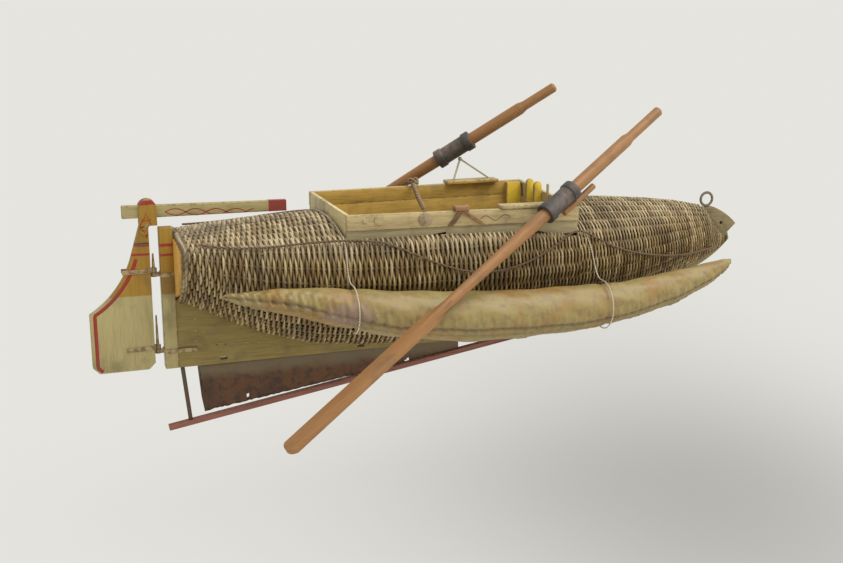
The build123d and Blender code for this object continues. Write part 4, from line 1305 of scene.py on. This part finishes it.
class LIFEBOAT_OT_cords(bpy.types.Operator):
    """Hangs the lifelines along both sides and ties the floats on"""

    bl_idname = "lifeboat.cords"
    bl_label = "Lines and Ties"

    lifeline = (
        (-227, 50.1, 54.6), (-204, 63.2, 52.1), (-171, 70.2, 52.1), (-137, 73.9, 54.6),
        (-98, 79.1, 55.9), (-72, 79.6, 53.3), (-56, 82.4, 49.2), (-26, 88.6, 35), (8, 91, 21.5),
        (39, 90.5, 18), (65, 89.6, 21.2), (99, 84.7, 31.9), (133, 72.2, 50.7), (151, 77.1, 42),
        (176, 75.5, 28.5), (208, 69.7, 18.9), (244, 56.9, 11.3), (279, 40.6, 7.1), (303, 27.4, 6.7),
        (326, 15.5, 6),
    )

    def execute(self, context):
        brown = cord_material("brown_cord", srgb(122, 100, 72), srgb(70, 54, 38), 300)
        for side, title in SIDES:
            route = [Vector((x, y * side, z)) * MM for x, y, z in self.lifeline]
            line = tube_piece(f"hung_line_{title}", [route], 1.0 * MM, brown)
            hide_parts(f"lifeline_{title}")
        white = cord_material("tie_cord", srgb(216, 208, 186), srgb(168, 154, 124), 400)
        for node in ("tie_cord_aft", "tie_cord_fore"):
            recolour(node, white)
        self.twist_lashing(cord_material("tan_cord", srgb(170, 142, 106), srgb(104, 80, 56), 420))
        thong = leather_material("thong_leather", srgb(168, 126, 84), srgb(136, 98, 64), srgb(78, 56, 38))
        softened("rail_thong", thong, 0.5 * MM)
        colours = (srgb(172, 152, 118), srgb(146, 122, 90), srgb(88, 70, 52))
        softened("lashing_tab", leather_material("lobe_leather", *colours, 0.5), 0.3 * MM)
        return {"FINISHED"}

    def twist_lashing(self, material):
        """Two strands twisted round each other from rail to rail, with a knot on the far one."""
        half = 1.6 * MM
        lift = 0.7 * MM
        lay = 11 * MM
        coil = 1.15 * MM
        slack = 1.5 * MM
        count = 144
        low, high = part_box("rope_cross_lashing")
        start = Vector((high[0] - half, high[1] - half, high[2] - half + lift))
        end = Vector((low[0] + half, low[1] + half, low[2] + half + lift))
        run = end - start
        across = run.cross(Vector((0, 0, 1))).normalized()
        upward = across.cross(run).normalized()
        routes = []
        for strand in range(2):
            route = []
            for number in range(count + 1):
                share = number / count
                turn = math.tau * (share * run.length / lay + strand / 2)
                sag = Vector((0, 0, -slack * math.sin(math.pi * share)))
                offset = across * math.cos(turn) + upward * math.sin(turn)
                route.append(start + run * share + offset * coil + sag)
            routes.append(route)
        piece = tube_piece("cross_strands", routes, 1.25 * MM, material, "POLY", 3)
        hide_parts("rope_cross_lashing")
        knot = []
        middle = Vector((-1, -1, 2.4))
        for number in range(46):
            turn = math.tau * number / 45
            spot = Vector((6.0 * math.cos(2 * turn), 3.2 * math.sin(3 * turn), 2.6 * math.sin(5 * turn)))
            knot.append(start + (spot + middle) * MM)
        tube_piece("cross_knot", [knot], 1.3 * MM, material)


class StageSettings(bpy.types.PropertyGroup):
    backdrop: colour_setting("Backdrop", "Pale colour behind and under the boat", 235, 234, 229)
    # The pool is a painted shadow on the floor before the bow.
    shadow_pool_colour: colour_setting("Shaded Pool", "Darker part of the floor before the bow", 179, 178, 173)
    pool_x: length_setting("Pool X", "Where the darker part lies along the boat", 0.300)
    pool_y: length_setting("Pool Y", "Where the darker part lies across the boat", -0.060)
    pool_breadth: length_setting("Pool Breadth", "How far the darker part reaches to each side", 0.30)
    pool_depth: length_setting("Pool Depth", "How far the darker part reaches back and forth", 0.48)
    floor_gap: length_setting("Floor Gap", "Space under the lowest point of the boat", 0.12)
    glow: number_setting("Floor Glow", "How bright the camera sees the floor", 0.92)
    key_strength: number_setting("Key Light", "Strength of the sun", 2.6)
    fill_strength: number_setting("Fill Light", "Strength of the sky", 0.55)


class LIFEBOAT_OT_stage(bpy.types.Operator):
    """Sets the floor, the light and the camera"""

    bl_idname = "lifeboat.stage"
    bl_label = "Floor, Light and Camera"

    floor_radius = 40
    glow_share = 0.93
    pool_share = 0.95
    pool_turn = (0.945, 0.326)
    sun_angle = math.radians(50)
    sun_from = (0.45, -0.35, 1.0)
    azimuth = math.radians(-19)
    elevation = math.radians(14)
    distance = 1.2
    target = (0, 0, -0.009)
    lens = 51.25
    sensor = 36

    def execute(self, context):
        settings = context.scene.lifeboat_stage
        self.lay_floor(settings)
        self.light_world(context, settings)
        lamp = bpy.data.lights.new("key_lamp", "SUN")
        lamp.energy = settings.key_strength
        lamp.angle = self.sun_angle
        key = linked("key_lamp", lamp)
        key.rotation_euler = Vector(self.sun_from).to_track_quat("Z", "Y").to_euler()
        key.location = (0, 0, 3)
        self.set_camera(context)
        context.scene.view_settings.view_transform = "Standard"
        return {"FINISHED"}

    def seen(self, tree):
        """1 where the camera sees a surface, straight, in a reflection or through another."""
        path = tree.nodes.new("ShaderNodeLightPath").outputs
        straight = calc(tree, "MAXIMUM", path["Is Camera Ray"], path["Is Glossy Ray"])
        return calc(tree, "MAXIMUM", straight, path["Is Transmission Ray"])

    def lay_floor(self, settings):
        """A wide floor under the boat that the camera sees as pale paper with a painted shadow in a darker
        pool.
        """
        low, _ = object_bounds()
        bm = bmesh.new()
        bmesh.ops.create_circle(bm, cap_ends=True, segments=96, radius=self.floor_radius)
        for vert in bm.verts:
            vert.co.z = low[2] - settings.floor_gap
        mesh = bpy.data.meshes.new("floor")
        bm.to_mesh(mesh)
        bm.free()
        floor = linked("floor", mesh)
        material = bpy.data.materials.new("floor_paper")
        tree, surface = empty_tree(material, "ShaderNodeOutputMaterial")
        matt = place_node(tree, "ShaderNodeBsdfDiffuse", {"Color": settings.backdrop})
        # The painted shadow: the glow darkens towards the pool's colour.
        pooled = times(tree, self.pool(tree, settings), self.pool_share)
        shade = shade_mix(tree, pooled, settings.backdrop, settings.shadow_pool_colour)
        glow = place_node(tree, "ShaderNodeEmission", {"Color": shade, "Strength": settings.glow})
        inputs = {0: times(tree, self.seen(tree), self.glow_share), 1: matt.outputs[0], 2: glow.outputs[0]}
        tree.links.new(place_node(tree, "ShaderNodeMixShader", inputs).outputs[0], surface)
        floor.data.materials.append(material)
        floor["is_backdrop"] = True

    def pool(self, tree, settings):
        """Mask of the painted shadow: a soft spot that is 1 at its middle, measured to the camera's right
        and away from it.
        """
        parts = axes(tree, coordinates(tree))
        east = minus(tree, parts["X"], settings.pool_x)
        north = minus(tree, parts["Y"], settings.pool_y)
        cosine, sine = self.pool_turn
        right = plus(tree, times(tree, east, cosine), times(tree, north, -sine))
        deep = plus(tree, times(tree, east, sine), times(tree, north, cosine))
        right = calc(tree, "POWER", calc(tree, "DIVIDE", right, settings.pool_breadth), 2.0)
        deep = calc(tree, "POWER", calc(tree, "DIVIDE", deep, settings.pool_depth), 2.0)
        spread = calc(tree, "POWER", plus(tree, deep, 1.0), -1.5)
        return times(tree, calc(tree, "EXPONENT", times(tree, right, -1.0)), spread)

    def light_world(self, context, settings):
        """A soft sky for the light, and the backdrop's colour where the camera sees past the floor."""
        world = bpy.data.worlds.new("studio")
        context.scene.world = world
        tree, surface = empty_tree(world, "ShaderNodeOutputWorld")
        inputs = {"Color": (1, 0.99, 0.97), "Strength": settings.fill_strength}
        sky = place_node(tree, "ShaderNodeBackground", inputs)
        back = place_node(tree, "ShaderNodeBackground", {"Color": settings.backdrop, "Strength": 1.0})
        inputs = {0: self.seen(tree), 1: sky.outputs[0], 2: back.outputs[0]}
        tree.links.new(place_node(tree, "ShaderNodeMixShader", inputs).outputs[0], surface)

    def set_camera(self, context):
        """The photograph's viewpoint: off the starboard side, a little astern and above."""
        level = math.cos(self.elevation)
        east = math.sin(self.azimuth) * level
        north = -math.cos(self.azimuth) * level
        back = Vector((east, north, math.sin(self.elevation)))
        data = bpy.data.cameras.new("camera")
        data.sensor_width = self.sensor
        data.lens = self.lens
        data.clip_end = 200
        camera = linked("camera", data)
        camera.location = Vector(self.target) + back * self.distance
        camera.rotation_euler = back.to_track_quat("Z", "Y").to_euler()
        context.scene.camera = camera


class LIFEBOAT_PT_panel(bpy.types.Panel):
    """Lists the steps that build the lifeboat's surfaces"""

    bl_idname = "LIFEBOAT_PT_panel"
    bl_label = "Lifeboat"
    bl_space_type = "VIEW_3D"
    bl_region_type = "UI"
    bl_category = "Lifeboat"

    def draw(self, context):
        layout = self.layout
        for group in SETTINGS:
            box = layout.box()
            settings = getattr(context.scene, group)
            for name in settings.__annotations__:
                box.prop(settings, name)
        for operator in OPERATORS:
            layout.operator(operator.bl_idname)


SETTINGS = {
    "lifeboat_basket": BasketSettings,
    "lifeboat_paint": PaintSettings,
    "lifeboat_leather": LeatherSettings,
    "lifeboat_stage": StageSettings,
}

OPERATORS = (
    LIFEBOAT_OT_basket,
    LIFEBOAT_OT_woodwork,
    LIFEBOAT_OT_ironwork,
    LIFEBOAT_OT_oars,
    LIFEBOAT_OT_floats,
    LIFEBOAT_OT_drop_web,
    LIFEBOAT_OT_cords,
    LIFEBOAT_OT_stage,
)


def register():
    for group, settings in SETTINGS.items():
        bpy.utils.register_class(settings)
        setattr(bpy.types.Scene, group, bpy.props.PointerProperty(type=settings))
    for operator in OPERATORS:
        bpy.utils.register_class(operator)
    bpy.utils.register_class(LIFEBOAT_PT_panel)


def unregister():
    bpy.utils.unregister_class(LIFEBOAT_PT_panel)
    for operator in reversed(OPERATORS):
        bpy.utils.unregister_class(operator)
    for group, settings in SETTINGS.items():
        delattr(bpy.types.Scene, group)
        bpy.utils.unregister_class(settings)


def main():
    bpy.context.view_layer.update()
    register()
    build_groups()
    bpy.ops.lifeboat.basket()
    bpy.ops.lifeboat.woodwork()
    bpy.ops.lifeboat.ironwork()
    bpy.ops.lifeboat.oars()
    bpy.ops.lifeboat.floats()
    bpy.ops.lifeboat.drop_web()
    bpy.ops.lifeboat.cords()
    bpy.ops.lifeboat.stage()


if __name__ == "__main__":
    main()
